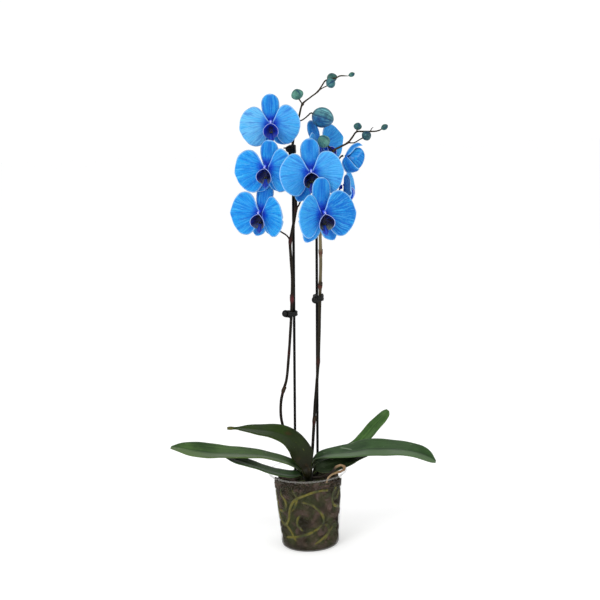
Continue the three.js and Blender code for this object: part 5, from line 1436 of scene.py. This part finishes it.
def sepal(part, f, angle, length, widths, bend, dorsal):
    at, n = flower_frame(f)
    a = angle * RAD
    dx, dy = math.sin(a), math.cos(a)
    nu, nv = 30, 13
    t = np.linspace(0, 1, nu)
    t = 0.55 * t + 0.45 * np.sin(t * math.pi / 2)
    W = crom(np.array([(p, w) for p, w in widths]), np.linspace(0, 1, 120))
    w = np.interp(t, W[:, 0], W[:, 1]) * f["k"]
    w[-1] = 0.5
    s = np.linspace(-1, 1, nv)
    seed = SEED[f["id"]] + 0.13 * angle / 60
    l = t * length * f["k"]
    X = dx * l[:, None] + dy * w[:, None] * s[None]
    Y = dy * l[:, None] - dx * w[:, None] * s[None]
    edge = np.minimum((1 - np.abs(s))[None] * w[:, None], ((1 - t) * length * f["k"])[:, None] * 0.8 + 0 * s[None])
    edge[0, :] = 3
    rim = np.clip(1 - edge / 7, 0, 1) ** 1.5
    z = -4.4 - bend * (t**2)[:, None] - 1.4 * s[None] ** 2 * np.minimum(1, t / 0.3)[:, None]
    z = z + rim * np.clip(t * 3, 0, 1)[:, None] * 0.35 * np.sin(t[:, None] * 9 + s[None] * 2 + seed * 5)
    z = z + 0.3 * gauss(s[None], 0.16) * np.clip(1.05 - t, 0, 1)[:, None]
    P = at(X, Y, z)
    T_ = 0.95 * np.sqrt(np.clip(edge / 1.8, 0.02, 1))
    A = np.zeros((nu, nv, 3))
    A[..., 0] = t[:, None] * 0.95
    A[..., 1] = s[None] * (0.25 + 0.55 * w[:, None] / w.max())
    A[..., 2] = edge
    B = np.zeros((nu, nv, 3))
    # painted light and shade of this sepal
    B[..., 1] = PAINTED_LIGHT[f["id"]][2 if dorsal else 3]
    B[..., 2] = seed
    sheet(part, P, T_, A, B, face=n)


def ovary(part, f):
    """The swollen end of the pedicel behind the flower, and the disc that carries its parts."""
    at, n = flower_frame(f)
    prof = [(-6.2, 1.5), (-5.6, 2.3), (-5.0, 3.3), (-4.2, 3.9), (-3.2, 3.8), (-2.0, 3.2), (-0.6, 2.7)]
    ang = np.arange(16) * 2 * math.pi / 16
    rings = np.array([at(r * np.cos(ang), r * np.sin(ang), z) for z, r in prof])
    A = np.zeros((len(prof), 16, 3))
    A[..., 2] = 4
    A[..., 0] = 0.06
    A[..., 1] = ang[None] * 0.3
    B = np.zeros((len(prof), 16, 3))
    B[..., 0] = 1
    B[:3, :, 0] = 0
    rings_body(part, rings, at(0, 0, -6.4), at(0, 0, -0.4), A, (0.05, 0, 4), (0.05, 0, 4), B, (0, 0, 0), (1, 0, 0))


LIP_RIM = [
    # x, y, how far forward; half of the rim from the pinch under the column round to the foot
    (0.0, 0.5, 9.2), (3.4, -0.3, 12.2), (6.9, -2.4, 15.0), (9.9, -5.9, 16.6), (11.1, -10.0, 17.0), (10.8, -13.8, 16.1),
    (9.6, -16.8, 14.4), (7.0, -19.4, 12.4), (3.8, -21.0, 10.6), (0.0, -21.4, 9.8),
]


def lip(part, f):
    at, n = flower_frame(f)
    q = f["k"] / 45
    seed = SEED[f["id"]]
    half = np.array(LIP_RIM)
    rim = np.concatenate([half, half[-2:0:-1] * np.array([-1, 1, 1])])
    m = 56
    closed = np.concatenate([rim, rim[:1]])
    loop = crom(np.concatenate([closed]), np.linspace(0, 1, m + 1))[:-1]
    loop[:, :2] *= q
    cx, cy = 0.0, -10.8 * q
    back = np.array([0.0, -7.6 * q, 3.2])
    tone = 0.3 * LIP_BLUE[f["id"]]
    rows_in = [(0.16, 4.6), (0.34, 5.0), (0.52, 5.9), (0.68, 7.2), (0.82, 8.8), (0.93, 10.4)]
    ang = np.arange(m) * 2 * math.pi / m

    def ring(scale, zmid, inset=0.0):
        d = loop[:, :2] - np.array([cx, cy])
        L = np.linalg.norm(d, axis=1, keepdims=True)
        g = d * np.maximum(scale - inset / L, 0.05)
        pull = max(1 - scale, 0.0) ** 1.2
        xy = np.array([cx, cy]) + g + np.array([0, (back[1] - cy)]) * pull
        zr = loop[:, 2]
        z = zmid + (zr - 10.6) * scale**2
        return xy, z

    rings, A, B = [], [], []

    def put(xy, z, depth, dist, inside):
        rings.append(at(xy[:, 0], xy[:, 1], z))
        a = np.zeros((m, 3))
        a[:, 0], a[:, 1], a[:, 2] = depth, ang, dist
        b = np.zeros((m, 3))
        b[:, 0] = inside
        b[:, 1] = tone
        b[:, 2] = seed
        A.append(a)
        B.append(b)

    for sc, zz in rows_in:  # inner skin
        xy, z = ring(sc, zz + 0.9)
        put(xy, z, sc, (1 - sc) * 13 + 0.8, 1)
    xy, z = ring(0.975, 11.5)
    put(xy, z + 0.1, 0.98, 0.55, 1)
    xy, z = ring(1.0, 11.2)
    put(xy, z + 0.35, 1.0, 0.0, 0.5)
    xy, z = ring(1.012, 10.4)
    put(xy, z, 0.98, 0.7, 0)
    for sc, zz in rows_in[::-1]:  # outer skin
        xy, z = ring(sc * 1.0 + 0.035, zz - 0.25)
        put(xy, z, sc, (1 - sc) * 13 + 1.2, 0)
    xy, z = ring(0.07, 3.8)
    rings_body(
        part, np.array(rings), at(0, back[1] - 0.2, 4.9), at(0, back[1], 3.1),
        np.array(A), (0.05, 0, 9), (0.05, 0, 9), np.array(B), (1, tone, seed), (0, tone, seed),
    )
    # middle lobe: an arrow-shaped tongue out of the foot of the bowl, with two curled tails
    nu, nv = 18, 9
    t = np.linspace(0, 1, nu)
    s = np.linspace(-1, 1, nv)
    spine = crom([(0, -14.5, 7.2), (0, -18.2, 10.2), (0, -21.2, 12.2), (0, -24.2, 13.8), (0, -26.4, 14.6)], t)
    w = np.interp(t, [0, 0.25, 0.45, 0.62, 0.8, 1], [2.0, 2.8, 4.2, 4.5, 2.8, 0.4])
    P = np.zeros((nu, nv, 3))
    P[..., 0] = w[:, None] * s[None]
    P[..., 1] = spine[:, 1][:, None] - 0.5 * (s**2)[None] * w[:, None] * 0.4
    P[..., 2] = spine[:, 2][:, None] - 1.2 * (s**2)[None] + 0.5 * gauss(s[None], 0.3)
    W = at(P[..., 0] * q, P[..., 1] * q, P[..., 2])
    edge = np.minimum((1 - np.abs(s))[None] * w[:, None], (1 - t)[:, None] * 9 + 0 * s[None])
    A2 = np.zeros((nu, nv, 3))
    A2[..., 0] = t[:, None]
    A2[..., 1] = s[None]
    A2[..., 2] = edge + 0.25
    B2 = np.zeros((nu, nv, 3))
    B2[..., 1] = 1
    B2[..., 2] = seed
    sheet(part, W, 1.5 * np.sqrt(np.clip(edge / 1.6, 0.05, 1)), A2, B2, face=n)
    for side in (-1, 1):
        pts = [(0.2 * side, -25.8, 14.4), (1.4 * side, -27.2, 14.9), (2.7 * side, -26.8, 15.8), (2.8 * side, -25.4, 16.4)]
        pts = [at(x * q, y * q, z) for x, y, z in pts]
        tube(part, pts, [0.5, 0.4, 0.28, 0.16], 6, 10, a=lambda v: v * 0 + np.array([1.0, 0, 0.4]), b=lambda v, p: np.tile([1.0, 1.0, seed], (len(v), 1)))
    # two-lobed callus on the floor of the bowl
    for side in (-1, 1):
        c0 = at(1.1 * side * q, -13.4 * q, 6.6)
        c1 = at(1.4 * side * q, -12.2 * q, 8.8)
        tube(part, [c0, (c0 + c1) / 2, c1], [0.9, 1.2, 0.7], 8, 6, a=lambda v: v * 0 + np.array([0.5, 0, 9.0]), b=lambda v, p: np.tile([1.0, 2.0, seed], (len(v), 1)))


def column(part, f):
    at, n = flower_frame(f)
    pts = [at(0, 2.8, 0.6), at(0, 3.3, 3.4), at(0, 3.3, 6.0), at(0, 2.9, 8.2), at(0, 2.2, 9.8)]

    def shape(u, ang):
        return 1 + 0.1 * np.cos(2 * ang) + 0.06 * np.sin(3 * ang + 5 * u) - 0.12 * gauss(u - 0.72, 0.05)

    tube(part, pts, [1.9, 1.7, 1.7, 2.0, 1.8, 1.2], 16, 18, shape)
    # anther cap and the two wings of the stigma's hood
    tube(part, [at(0, 2.4, 9.2), at(0, 1.9, 10.4), at(0, 1.1, 11.2)], [1.25, 1.4, 0.7], 12, 8, a=lambda v: v * 0 + np.array([9.0, 0, 1.0]))
    for side in (-1, 1):
        tube(part, [at(1.1 * side, 2.6, 7.0), at(1.8 * side, 2.0, 8.6), at(1.4 * side, 1.0, 9.8)], [0.6, 0.65, 0.25], 8, 6, a=lambda v: v * 0 + np.array([9.0, 0, 0.45]))


FLOWERS = T["flowers"]
for f in FLOWERS:
    name = "flower_" + f["id"]
    part = Part()
    ovary(part, f)
    sepal(part, f, f["dorsal"], f["up"], DORSAL_W, f["bend"], True)
    sepal(part, f, 180 - f["spread"], f["down"], LATERAL_W, f["fall"], False)
    sepal(part, f, 180 + f["spread"], f["down"], LATERAL_W, f["fall"], False)
    part.make(name + "_sepals_fine", SEPAL, name + "_sepals", "sepal")
    part = Part()
    petal(part, f, 1)
    petal(part, f, -1)
    part.make(name + "_petals_fine", PETAL, name + "_petals", "petal")
    part = Part()
    lip(part, f)
    part.make(name + "_lip_fine", LIP, name + "_lip", "lip")
    part = Part()
    column(part, f)
    part.make(name + "_column_fine", COLUMN, name + "_column", "column")

# ---------------------------------------------------------------- stems
BY_ID = {f["id"]: f for f in FLOWERS}


def with_back(rows, key):
    at, n = flower_frame(BY_ID[key])
    return [*map(tuple, rows), tuple(at(0, 0, -12.9)), tuple(at(0, 0, -5.9))]


def bract(part, C, t, S, O, k, R, length, turn, spread=2.3, tone=1.0):
    """A short pointed scale that clasps the stem from ring k upwards."""
    steps = 7
    step = np.linalg.norm(C[min(k + 1, len(C) - 1)] - C[k])
    n = max(2, int(length / max(step, 0.3)))
    ids = np.clip(np.linspace(k, k + n, steps).round().astype(int), 0, len(C) - 1)
    nv = 7
    P = np.zeros((steps, nv, 3))
    A = np.zeros((steps, nv, 3))
    B = np.zeros((steps, nv, 3))
    for i, idx in enumerate(ids):
        v = i / (steps - 1)
        half = spread * (1 - v) ** 0.7 + 0.06
        r = R * 1.12 + 0.35 + 0.9 * v * v
        for j in range(nv):
            g = turn + half * (2 * j / (nv - 1) - 1)
            P[i, j] = C[idx] + r * (math.cos(g) * S[idx] + math.sin(g) * O[idx])
            A[i, j] = (v * 9, g, v)
            B[i, j] = (0.25 * (1 - v), 0, tone)
    sheet(part, P, np.full((steps, nv), 0.5), A, B)
    # sheet() writes the side flag in pb.x; it is the joint colour here
    part.b[-1] = part.b[-1] * np.array([0.25, 1, 1])


def spike(name, node, mat, main, radii, joints, tone, branches, bracts):
    part = Part()
    main = np.array(main)
    steps = 330
    u_of = lambda z: float(np.interp(z, main[:, 2], np.linspace(0, 1, len(main))))
    js = [(u_of(z), amt) for z, amt, red in joints]

    def shape(u, ang):
        s = 1 + 0.03 * np.sin(2 * ang + 9 * u) + 0.02 * np.sin(u * 160)
        for q, amt in js:
            s = s + amt * gauss(u - q, 0.006)
        return s

    def attr_b(a, p):
        b = np.zeros_like(a)
        z = p[:, 2]
        for zz, amt, red in joints:
            b[:, 0] = np.maximum(b[:, 0], red * gauss(z - zz, 5.0))
        b[:, 1] = np.interp(z, [r[0] for r in tone], [r[1] for r in tone])
        return b

    C, t, S, O, u = tube(part, main, radii, 14, steps, shape, b=attr_b)
    for rows, r0, r1, kind in branches:

        def attr_c(a, p, kind=kind):
            b = np.zeros_like(a)
            b[:, 1] = kind
            b[:, 0] = 0.35 * gauss(a[:, 2], 0.15)
            return b

        def knee(u, ang):
            return 1 + 0.35 * gauss(u, 0.06) + 0.1 * gauss(u - 1, 0.1) + 0.03 * np.sin(2 * ang)

        tube(part, rows, [r0, (r0 + r1) / 2 * 0.92, r1], 10, None, knee, b=attr_c)
    for z, length, turn, tn in bracts:
        k = int(u_of(z) * steps)
        bract(part, C, t, S, O, k, float(np.interp(k / steps, np.linspace(0, 1, len(radii)), radii)), length, turn, tone=tn)
    return part.make(name, mat, node, "stem")


P1, P2 = T["ped1"], T["ped2"]
BUD = {b["id"]: b for b in T["buds"]}


def reach(rows, key, deep=1.6):
    """The pedicel carried on into the foot of its bud."""
    b = BUD[key]
    return [*map(tuple, rows), tuple(np.array(b["foot"]) + deep * unit(b["axis"]))]
R1 = [min(r, 2.35) if i < 25 else min(r, 1.15) for i, r in enumerate(T["spike1r"])]
R2 = [min(r, 2.45) for r in T["spike2r"]]
spike(
    "spike_1_fine", "spike_1", STEM1, T["spike1"], R1,
    [(172, 0.3, 0.5), (241, 0.35, 0.5), (300, 0.06, 0.3), (383, 0.4, 1.0), (471, 0.3, 0.5), (519, 0.25, 0.4), (574, 0.25, 0.4), (632, 0.25, 0.2), (672, 0.3, 0.1), (689, 0.3, 0.1)],
    [(0, 0), (400, 0.05), (470, 0.15), (560, 0.3), (640, 0.5), (715, 0.9)],
    [
        (with_back(P1["A"], "a"), 1.2, 1.4, 0.3), (with_back(P1["B"], "b"), 1.2, 1.4, 0.3), (with_back(P1["C"], "c"), 1.2, 1.4, 0.1),
        (with_back(P1["D"], "d"), 1.2, 1.4, 0.1), (with_back(P1["F"], "f"), 1.2, 1.4, 0.3), (reach(P1["J"], "j", 2.4), 0.95, 1.25, 0.2),
        (reach(P1["K1"], "k1"), 0.95, 1.2, 0.3), (reach(P1["K3"], "k3"), 0.8, 0.9, 0.5),
        (reach(T["spike1"][-2:], "k5", 1.4), 0.6, 0.55, 0.6),
    ],
    [(172, 13, 2.0, 0.5), (240, 12, 0.6, 0.35), (382, 11, 3.4, 0.3), (471, 7, 2.6, 0.5), (519, 6, 0.3, 0.4), (574, 6, 2.6, 0.5), (632, 6, 3.0, 0.5), (646, 5, 0.5, 0.5), (671, 4, 2.5, 0.5)],
)
spike(
    "spike_2_fine", "spike_2", STEM2, T["spike2"], R2,
    [(190, 0.3, 0.5), (285, 0.25, 0.5), (402, 0.4, 1.0), (452, 0.25, 0.9), (497, 0.25, 0.4), (558, 0.25, 0.3), (585, 0.25, 0.3), (602, 0.25, 0.3), (613.7, 0.2, 0.3)],
    [(0, 0), (250, 0.0), (372, 0.1), (405, 0.55), (440, 1.0), (490, 1.0), (560, 0.35), (590, 0.5), (612, 0.2), (640, 0.0)],
    [
        (with_back(P2["E"], "e"), 1.2, 1.4, 0.5), (with_back(P2["G"], "g"), 1.2, 1.4, 0.2), (P2["H"], 1.1, 1.4, 0.1),
        (reach(P2["L1"], "l1"), 1.1, 1.4, 0.1), (reach(P2["L2"], "l2"), 1.1, 1.1, 0.1), (reach(P2["L3"], "l3"), 0.9, 1.0, 0.0), (P2["hook"], 0.8, 0.5, 0.0), (reach(P2["L4"], "l4"), 0.9, 0.9, 0.3),
    ],
    [(190, 13, 1.2, 0.5), (285, 12, 4.0, 0.4), (402, 11, 0.4, 0.35), (452, 10, 3.0, 0.4), (497, 6, 0.4, 0.5), (558, 5, 2.0, 0.5), (585, 5, 0.5, 0.5), (602, 5, 2.4, 0.5)],
)


# ---------------------------------------------------------------- buds
def egg_axes(axis):
    d = unit(np.array(axis, float))
    s = np.array([0, -1.0, 0]) if abs(d[1]) < 0.9 else np.array([0, 0, 1.0])
    s = unit(s - d * (s @ d))
    return d, s, np.cross(d, s)


def bud(name, node, foot, axis, length, radius, turn, blue, light, slot="bud", mat=None, lean=0.0, seam=1.0, grooves=()):
    """turn sets the three seams; grooves are extra folds: angle, depth mm, width rad, start, end, lift of the far side."""
    d, s, o = egg_axes(axis)
    foot = np.array(foot, float)
    fine = bool(len(grooves))
    nr, m = (44, 84) if fine else (26, 40)
    t = np.linspace(0.012, 0.988, nr)
    ang = np.arange(m) * 2 * math.pi / m
    w = np.sin(math.pi * t**0.9) ** 0.55
    rings = np.zeros((nr, m, 3))
    A = np.zeros((nr, m, 3))
    B = np.zeros((nr, m, 3))
    for i in range(nr):
        near = ((ang - turn + math.pi / 3) % (2 * math.pi / 3)) - math.pi / 3
        deep = seam * np.clip((t[i] - 0.12) * 2.2, 0, 1)
        wid = 0.9 / max(radius * w[i], 1.5) + 0.03
        r = radius * w[i] * (1 + 0.035 * np.cos(3 * (ang - turn) + math.pi))
        r = r - 0.85 * deep * gauss(near, wid) + 0.45 * deep * gauss(near - 2.4 * wid, wid * 1.3)
        # seam_shade is the painted shade along the seams and grooves, written to pa.z
        seam_shade = deep * gauss(near, wid * 0.9)
        for g, dep, gw, t0, t1, lift in grooves:
            off = (ang - g - 0.25 * math.sin(math.pi * t[i]) * (1 if g > 3.5 else -0.4) + math.pi) % (2 * math.pi) - math.pi
            win = float(np.clip((t[i] - t0) / 0.12, 0, 1) * np.clip((t1 - t[i]) / 0.12, 0, 1))
            r = r - dep * win * gauss(off, gw) + lift * win * gauss(off - 2.6 * gw, 2.2 * gw)
            seam_shade = np.maximum(seam_shade, win * gauss(off, gw * 0.8))
        r = r * (1 + 0.012 * np.sin(ang * 11 + t[i] * 6))
        bendy = lean * math.sin(math.pi * t[i])
        rings[i] = foot + d * length * t[i] + s * (r * np.cos(ang))[:, None] + o * (r * np.sin(ang))[:, None] + o * bendy
        A[i, :, 0] = t[i]
        A[i, :, 1] = ang
        A[i, :, 2] = seam_shade
        B[i, :, 0] = blue(t[i], ang) if callable(blue) else blue
        B[i, :, 1] = light(t[i], ang) if callable(light) else light
        B[i, :, 2] = radius
    part = Part()
    rings_body(part, rings, foot, foot + d * length, A, (0, 0, 0), (1, 0, 0.5), B, B[0, 0], B[-1, 0])
    return part.make(name, mat or BUD_MAT, node, slot)


for b in T["buds"]:
    k = b["id"]
    blue = {"j": 0.55, "l3": 0.45, "k3": 0.3, "l2": 0.2, "l4": 0.1, "k1": 0.0, "k2": 0.05, "k5": 0.0, "l1": 0.0}[k]
    # painted light and shade of each bud, below 0 shaded
    light = {"j": 0.1, "k1": 0.15, "l1": 0.25, "k5": -0.3, "k2": -0.55, "k3": -0.1, "l2": -0.5, "l3": -0.75, "l4": -0.6}.get(k, 0.0)
    turn = {"j": 2.45, "k1": 0.5, "k2": 1.0, "k3": 2.0, "l1": 0.9, "l3": 1.4}.get(k, 0.4)
    grooves = ()
    seam = 1.0
    if k == "j":
        # an upper teal lobe folded over a dark blue one, with a slot across its crown
        d, s, o = egg_axes(b["axis"])
        seam = 0.5

        def height(ang, s=s, o=o):
            return np.cos(ang) * s[2] + np.sin(ang) * o[2]

        def blue(t, ang):
            z = height(ang) + 0.22 - 0.25 * math.sin(math.pi * t)
            return np.clip(0.5 - 2.2 * z, 0, 1) * 0.55 + 0.45

        # painted highlight along the top of the bud and painted shade underneath
        def light(t, ang):
            z = height(ang)
            return np.clip(0.95 * gauss(z - 0.6, 0.13) * math.sin(math.pi * t) - np.clip(-0.55 - z, 0, 1) * 1.4, -1, 1)

        grooves = ((5.35, 1.5, 0.075, 0.2, 0.8, 0.9), (0.06, 1.0, 0.07, 0.04, 0.97, 0.7))
    bud("bud_" + k + "_fine", "bud_" + k, b["foot"], b["axis"], b["length"], b["radius"], turn, blue, light, lean=0.0, seam=seam, grooves=grooves)

# ---------------------------------------------------------------- half-open flower
H = T["half"]


def half_flower():
    """Closed petals as one folded body, with three sepals round it that meet at the knot."""
    view = np.array([0, 0.985, -0.175])
    knot = np.array(H["knot"], float)
    loop = np.array(H["outline"], float)
    mid = loop.mean(0)
    m = 72
    ring = crom(np.concatenate([loop, loop[:1]]), np.linspace(0, 1, m + 1))[:-1]
    part = Part()
    deep = np.linspace(-6.9, 6.4, 27)
    rings = np.zeros((len(deep), m, 3))
    A = np.zeros((len(deep), m, 3))
    B = np.zeros((len(deep), m, 3))
    for i, q in enumerate(deep):
        e = abs(q) / (7.0 if q < 0 else 6.5)
        scale = max(1 - e**3, 0.0) ** 0.5
        rings[i] = mid + (ring - mid) * scale + view * q
        rel = rings[i] - knot
        flat = rel - np.outer(rel @ view, view)
        away = np.linalg.norm(flat, axis=1)
        turn = np.arctan2(flat[:, 2], flat[:, 0])
        # a petal edge folded over the other, curving down from the knot
        fold = turn - (-0.62 + 0.9 * (away / 24) ** 1.5)
        rings[i] += np.outer(1.1 * np.clip(fold * 6, -1, 1) * (1 if q < 0 else 0) * np.clip(away / 6, 0, 1) * scale, -view)
        rings[i] += (ring - mid) * (0.03 * np.sin(5 * turn + 0.5 * q))[:, None] * 0.6
        A[i, :, 0] = 0.3 + 0.6 * away / 26
        A[i, :, 1] = turn * 0.9 + 0.25 * (away / 24) ** 2
        A[i, :, 2] = np.clip(np.abs(fold) * away, 1.5, 9)
        B[i, :, 0] = 1
        # painted shade: darker under the fold and near the knot
        B[i, :, 1] = np.where(fold > 0, -0.4, -0.7) - 0.3 * np.clip(1 - away / 9, 0, 1)
        B[i, :, 2] = 1.1
    a_end = (0.5, 0.2, 9)
    rings_body(part, rings, mid + view * -7.05, mid + view * 6.5, A, a_end, a_end, B, (1, 0, 1.1), (1, 0, 1.1))
    part.make("h_petals_fine", PETAL, "h_petals", "petal")

    part = Part()
    # painted light and shade of each sepal
    shade = {"left": -0.35, "top": 0.25, "back": -0.1}
    for n, key in enumerate(("left", "top", "back")):
        rows = H[key]
        nu, nv = 34, 17
        u = np.linspace(0, 1, nu)
        L = crom(np.array([r[0] for r in rows], float), u)
        R = crom(np.array([r[1] for r in rows], float), u)
        bulge = np.interp(u, np.linspace(0, 1, len(rows)), [r[2] for r in rows])
        v = np.linspace(-1, 1, nv)
        P = L[:, None] + (R - L)[:, None] * ((v + 1) / 2)[None, :, None]
        P = P - view * (bulge[:, None] * (1 - v**2)[None])[..., None]
        P = P - view * (0.25 * np.sin(9 * v[None] + 4 * u[:, None] + n) * np.clip(u * 4, 0, 1)[:, None])[..., None]
        w = np.linalg.norm(R - L, axis=1) / 2
        length = np.concatenate([[0], np.cumsum(np.linalg.norm(np.diff((L + R) / 2, axis=0), axis=1))])
        edge = np.minimum((1 - np.abs(v))[None] * w[:, None], (length[-1] - length)[:, None] + 0 * P[..., 0])
        edge[0, :] = 2
        A = np.zeros((nu, nv, 3))
        A[..., 0] = 0.2 + 0.75 * u[:, None]
        A[..., 1] = v[None] * 0.75
        A[..., 2] = edge
        B = np.zeros((nu, nv, 3))
        B[..., 1] = shade[key]
        if key == "left":
            # painted shade towards the tip, painted highlight along one edge
            B[..., 1] = -0.25 - 0.75 * np.clip(u * 1.5 - 0.55, 0, 1)[:, None] + 1.3 * np.clip(v[None] * 1.0 - 0.45, 0, 1)
        B[..., 2] = 3.1 + n
        sheet(part, P, 0.95 * np.sqrt(np.clip(edge / 1.8, 0.03, 1)), A, B, face=-view)
    # the knot takes painted shade too
    tube(part, [knot - view * 2.2, knot + view * 2.2], [1.7, 2.0, 1.7], 14, 6, a=lambda v: v * 0 + np.array([0.1, 0, 4.0]), b=lambda v, p: np.tile([0.0, -0.3, 1.0], (len(v), 1)))
    part.make("h_sepals_fine", SEPAL, "h_sepals", "sepal")


half_flower()


# ---------------------------------------------------------------- clips
def build_clip(k, c):
    at = np.array(c["at"], float)
    rx, ry, h = c["rx"], c["ry"], c["height"]
    part = Part()
    seg, rows = 44, 9
    # split ring: an oval band, bevelled, open for a few degrees at the back
    ang = np.linspace(0.16, 2 * math.pi - 0.16, seg) + math.pi / 2
    prof = [(0.0, -h / 2 + 0.4), (0.35, -h / 2), (0.95, -h / 2), (1.3, -h / 2 + 0.4), (1.3, h / 2 - 0.4), (0.95, h / 2), (0.35, h / 2), (0.0, h / 2 - 0.4)]
    rings = np.zeros((seg, len(prof), 3))
    for i, g in enumerate(ang):
        for j, (r, z) in enumerate(prof):
            rings[i, j] = at + np.array([(rx + r) * math.cos(g), (ry + r) * math.sin(g), z])
    A = np.zeros((seg, len(prof), 3))
    rings_body(part, rings, rings[0].mean(0), rings[-1].mean(0), A, (0, 0, 0), (0, 0, 0))
    # two raised ribs on the band
    for z in (-h / 4, h / 4):
        pts = [at + np.array([(rx + 1.45) * math.cos(g), (ry + 1.45) * math.sin(g), z]) for g in ang[::2]]
        tube(part, pts, [0.35, 0.35], 6, 40)
    if c["lobe"]:
        l = at + np.array(c["lobe"])
        r = c["lobeR"]
        # a coiled spring eye: three turns of wire round a hub
        hub = [l + np.array([0, -2.0, 0]), l + np.array([0, 2.0, 0])]
        tube(part, hub, [r * 0.8, r * 0.86, r * 0.8], 24, 6, straight=True)
        turns = 3.0
        n = 60
        coil = []
        for i in range(n + 1):
            g = 2 * math.pi * turns * i / n
            coil.append(l + np.array([(r - 0.8) * math.cos(g), -2.2 + 4.4 * i / n, (r - 0.8) * math.sin(g)]))
        tube(part, coil, [0.8, 0.8], 8, 120)
        # bridge from the band to the eye
        side = unit(np.array([c["lobe"][0], c["lobe"][1], 0]))
        p0 = at + np.array([(rx + 0.8) * side[0], (ry + 0.8) * side[1], 0])
        tube(part, [p0, (p0 + l) / 2, l], [1.5, 1.5, 1.5], 10, 6)
    for a0, a1, r0, r1 in c["tabs"]:
        a0, a1 = at + np.array(a0), at + np.array(a1)
        mid = (a0 + a1) / 2 + np.array([0.3, 0, 0.4])

        def flat(u, g):
            return 1 - 0.35 * np.cos(2 * g)

        tube(part, [a0, mid, a1], [r0, (r0 + r1) / 2, r1], 10, 8, flat)
    part.make(f"clip_{k + 1}_fine", CLIP, f"clip_{k + 1}", "clip")


for k, c in enumerate(T["clips"]):
    build_clip(k, c)

# ---------------------------------------------------------------- floor, light, camera
fm = Mat("floor_plain")
fn = fm.noise(fm.obj(), 3.0, 3, 0.5)
fm.set(color=fm.mix(fn, (0.88, 0.88, 0.88, 1), (0.91, 0.91, 0.91, 1)), rough=0.9, spec=0.05)
fm.p.inputs["Emission Color"].default_value = (1, 1, 1, 1)
fm.p.inputs["Emission Strength"].default_value = 0.32
bpy.ops.mesh.primitive_plane_add(size=14, location=(0, 3.0, -0.0002))
floor = bpy.context.object
floor.name = "floor"
floor.data.materials.append(fm.m)

world = bpy.data.worlds.new("world")
scene.world = world
world.use_nodes = True
wt = world.node_tree
bg = wt.nodes["Background"]
tc = wt.nodes.new("ShaderNodeTexCoord")
sx = wt.nodes.new("ShaderNodeSeparateXYZ")
mr = wt.nodes.new("ShaderNodeMapRange")
mr.interpolation_type = "SMOOTHSTEP"
wt.links.new(tc.outputs["Generated"], sx.inputs[0])
wt.links.new(sx.outputs[2], mr.inputs["Value"])
for tag, v in (("From Min", 0.2), ("From Max", 0.9), ("To Min", 1.04), ("To Max", 0.62)):
    mr.inputs[tag].default_value = v
bg.inputs[0].default_value = (1, 1, 1, 1)
wt.links.new(mr.outputs[0], bg.inputs[1])


def area(name, loc, target, size, power):
    L = bpy.data.lights.new(name, "AREA")
    L.shape = "DISK"
    L.size = size
    L.energy = power
    ob = bpy.data.objects.new(name, L)
    ob.location = loc
    ob.rotation_euler = (Vector(target) - Vector(loc)).to_track_quat("-Z", "Y").to_euler()
    scene.collection.objects.link(ob)
    return ob


area("key", (-1.1, -1.6, 1.9), (0, 0, 0.4), 1.2, 20)
area("fill", (1.5, -1.5, 1.1), (0, 0, 0.35), 1.4, 6)

cam_data = bpy.data.cameras.new("camera")
cam_data.sensor_width = 36
cam_data.lens = 36 * 1288 / 600
cam_data.clip_start = 0.05
cam = bpy.data.objects.new("camera", cam_data)
scene.collection.objects.link(cam)
pitch, roll = 10.1 * RAD, 2.5 * RAD
fwd = Vector((0, math.cos(pitch), -math.sin(pitch)))
right0 = Vector((1, 0, 0))
up0 = right0.cross(fwd)
R_ = right0 * math.cos(roll) - up0 * math.sin(roll)
U_ = right0 * math.sin(roll) + up0 * math.cos(roll)
mw = Matrix.Identity(4)
for i in range(3):
    mw[i][0], mw[i][1], mw[i][2] = R_[i], U_[i], -fwd[i]
mw[0][3], mw[1][3], mw[2][3] = 0, -1.9, 0.72
cam.matrix_world = mw
scene.camera = cam

# ---------------------------------------------------------------- update the scene
bpy.context.view_layer.update()
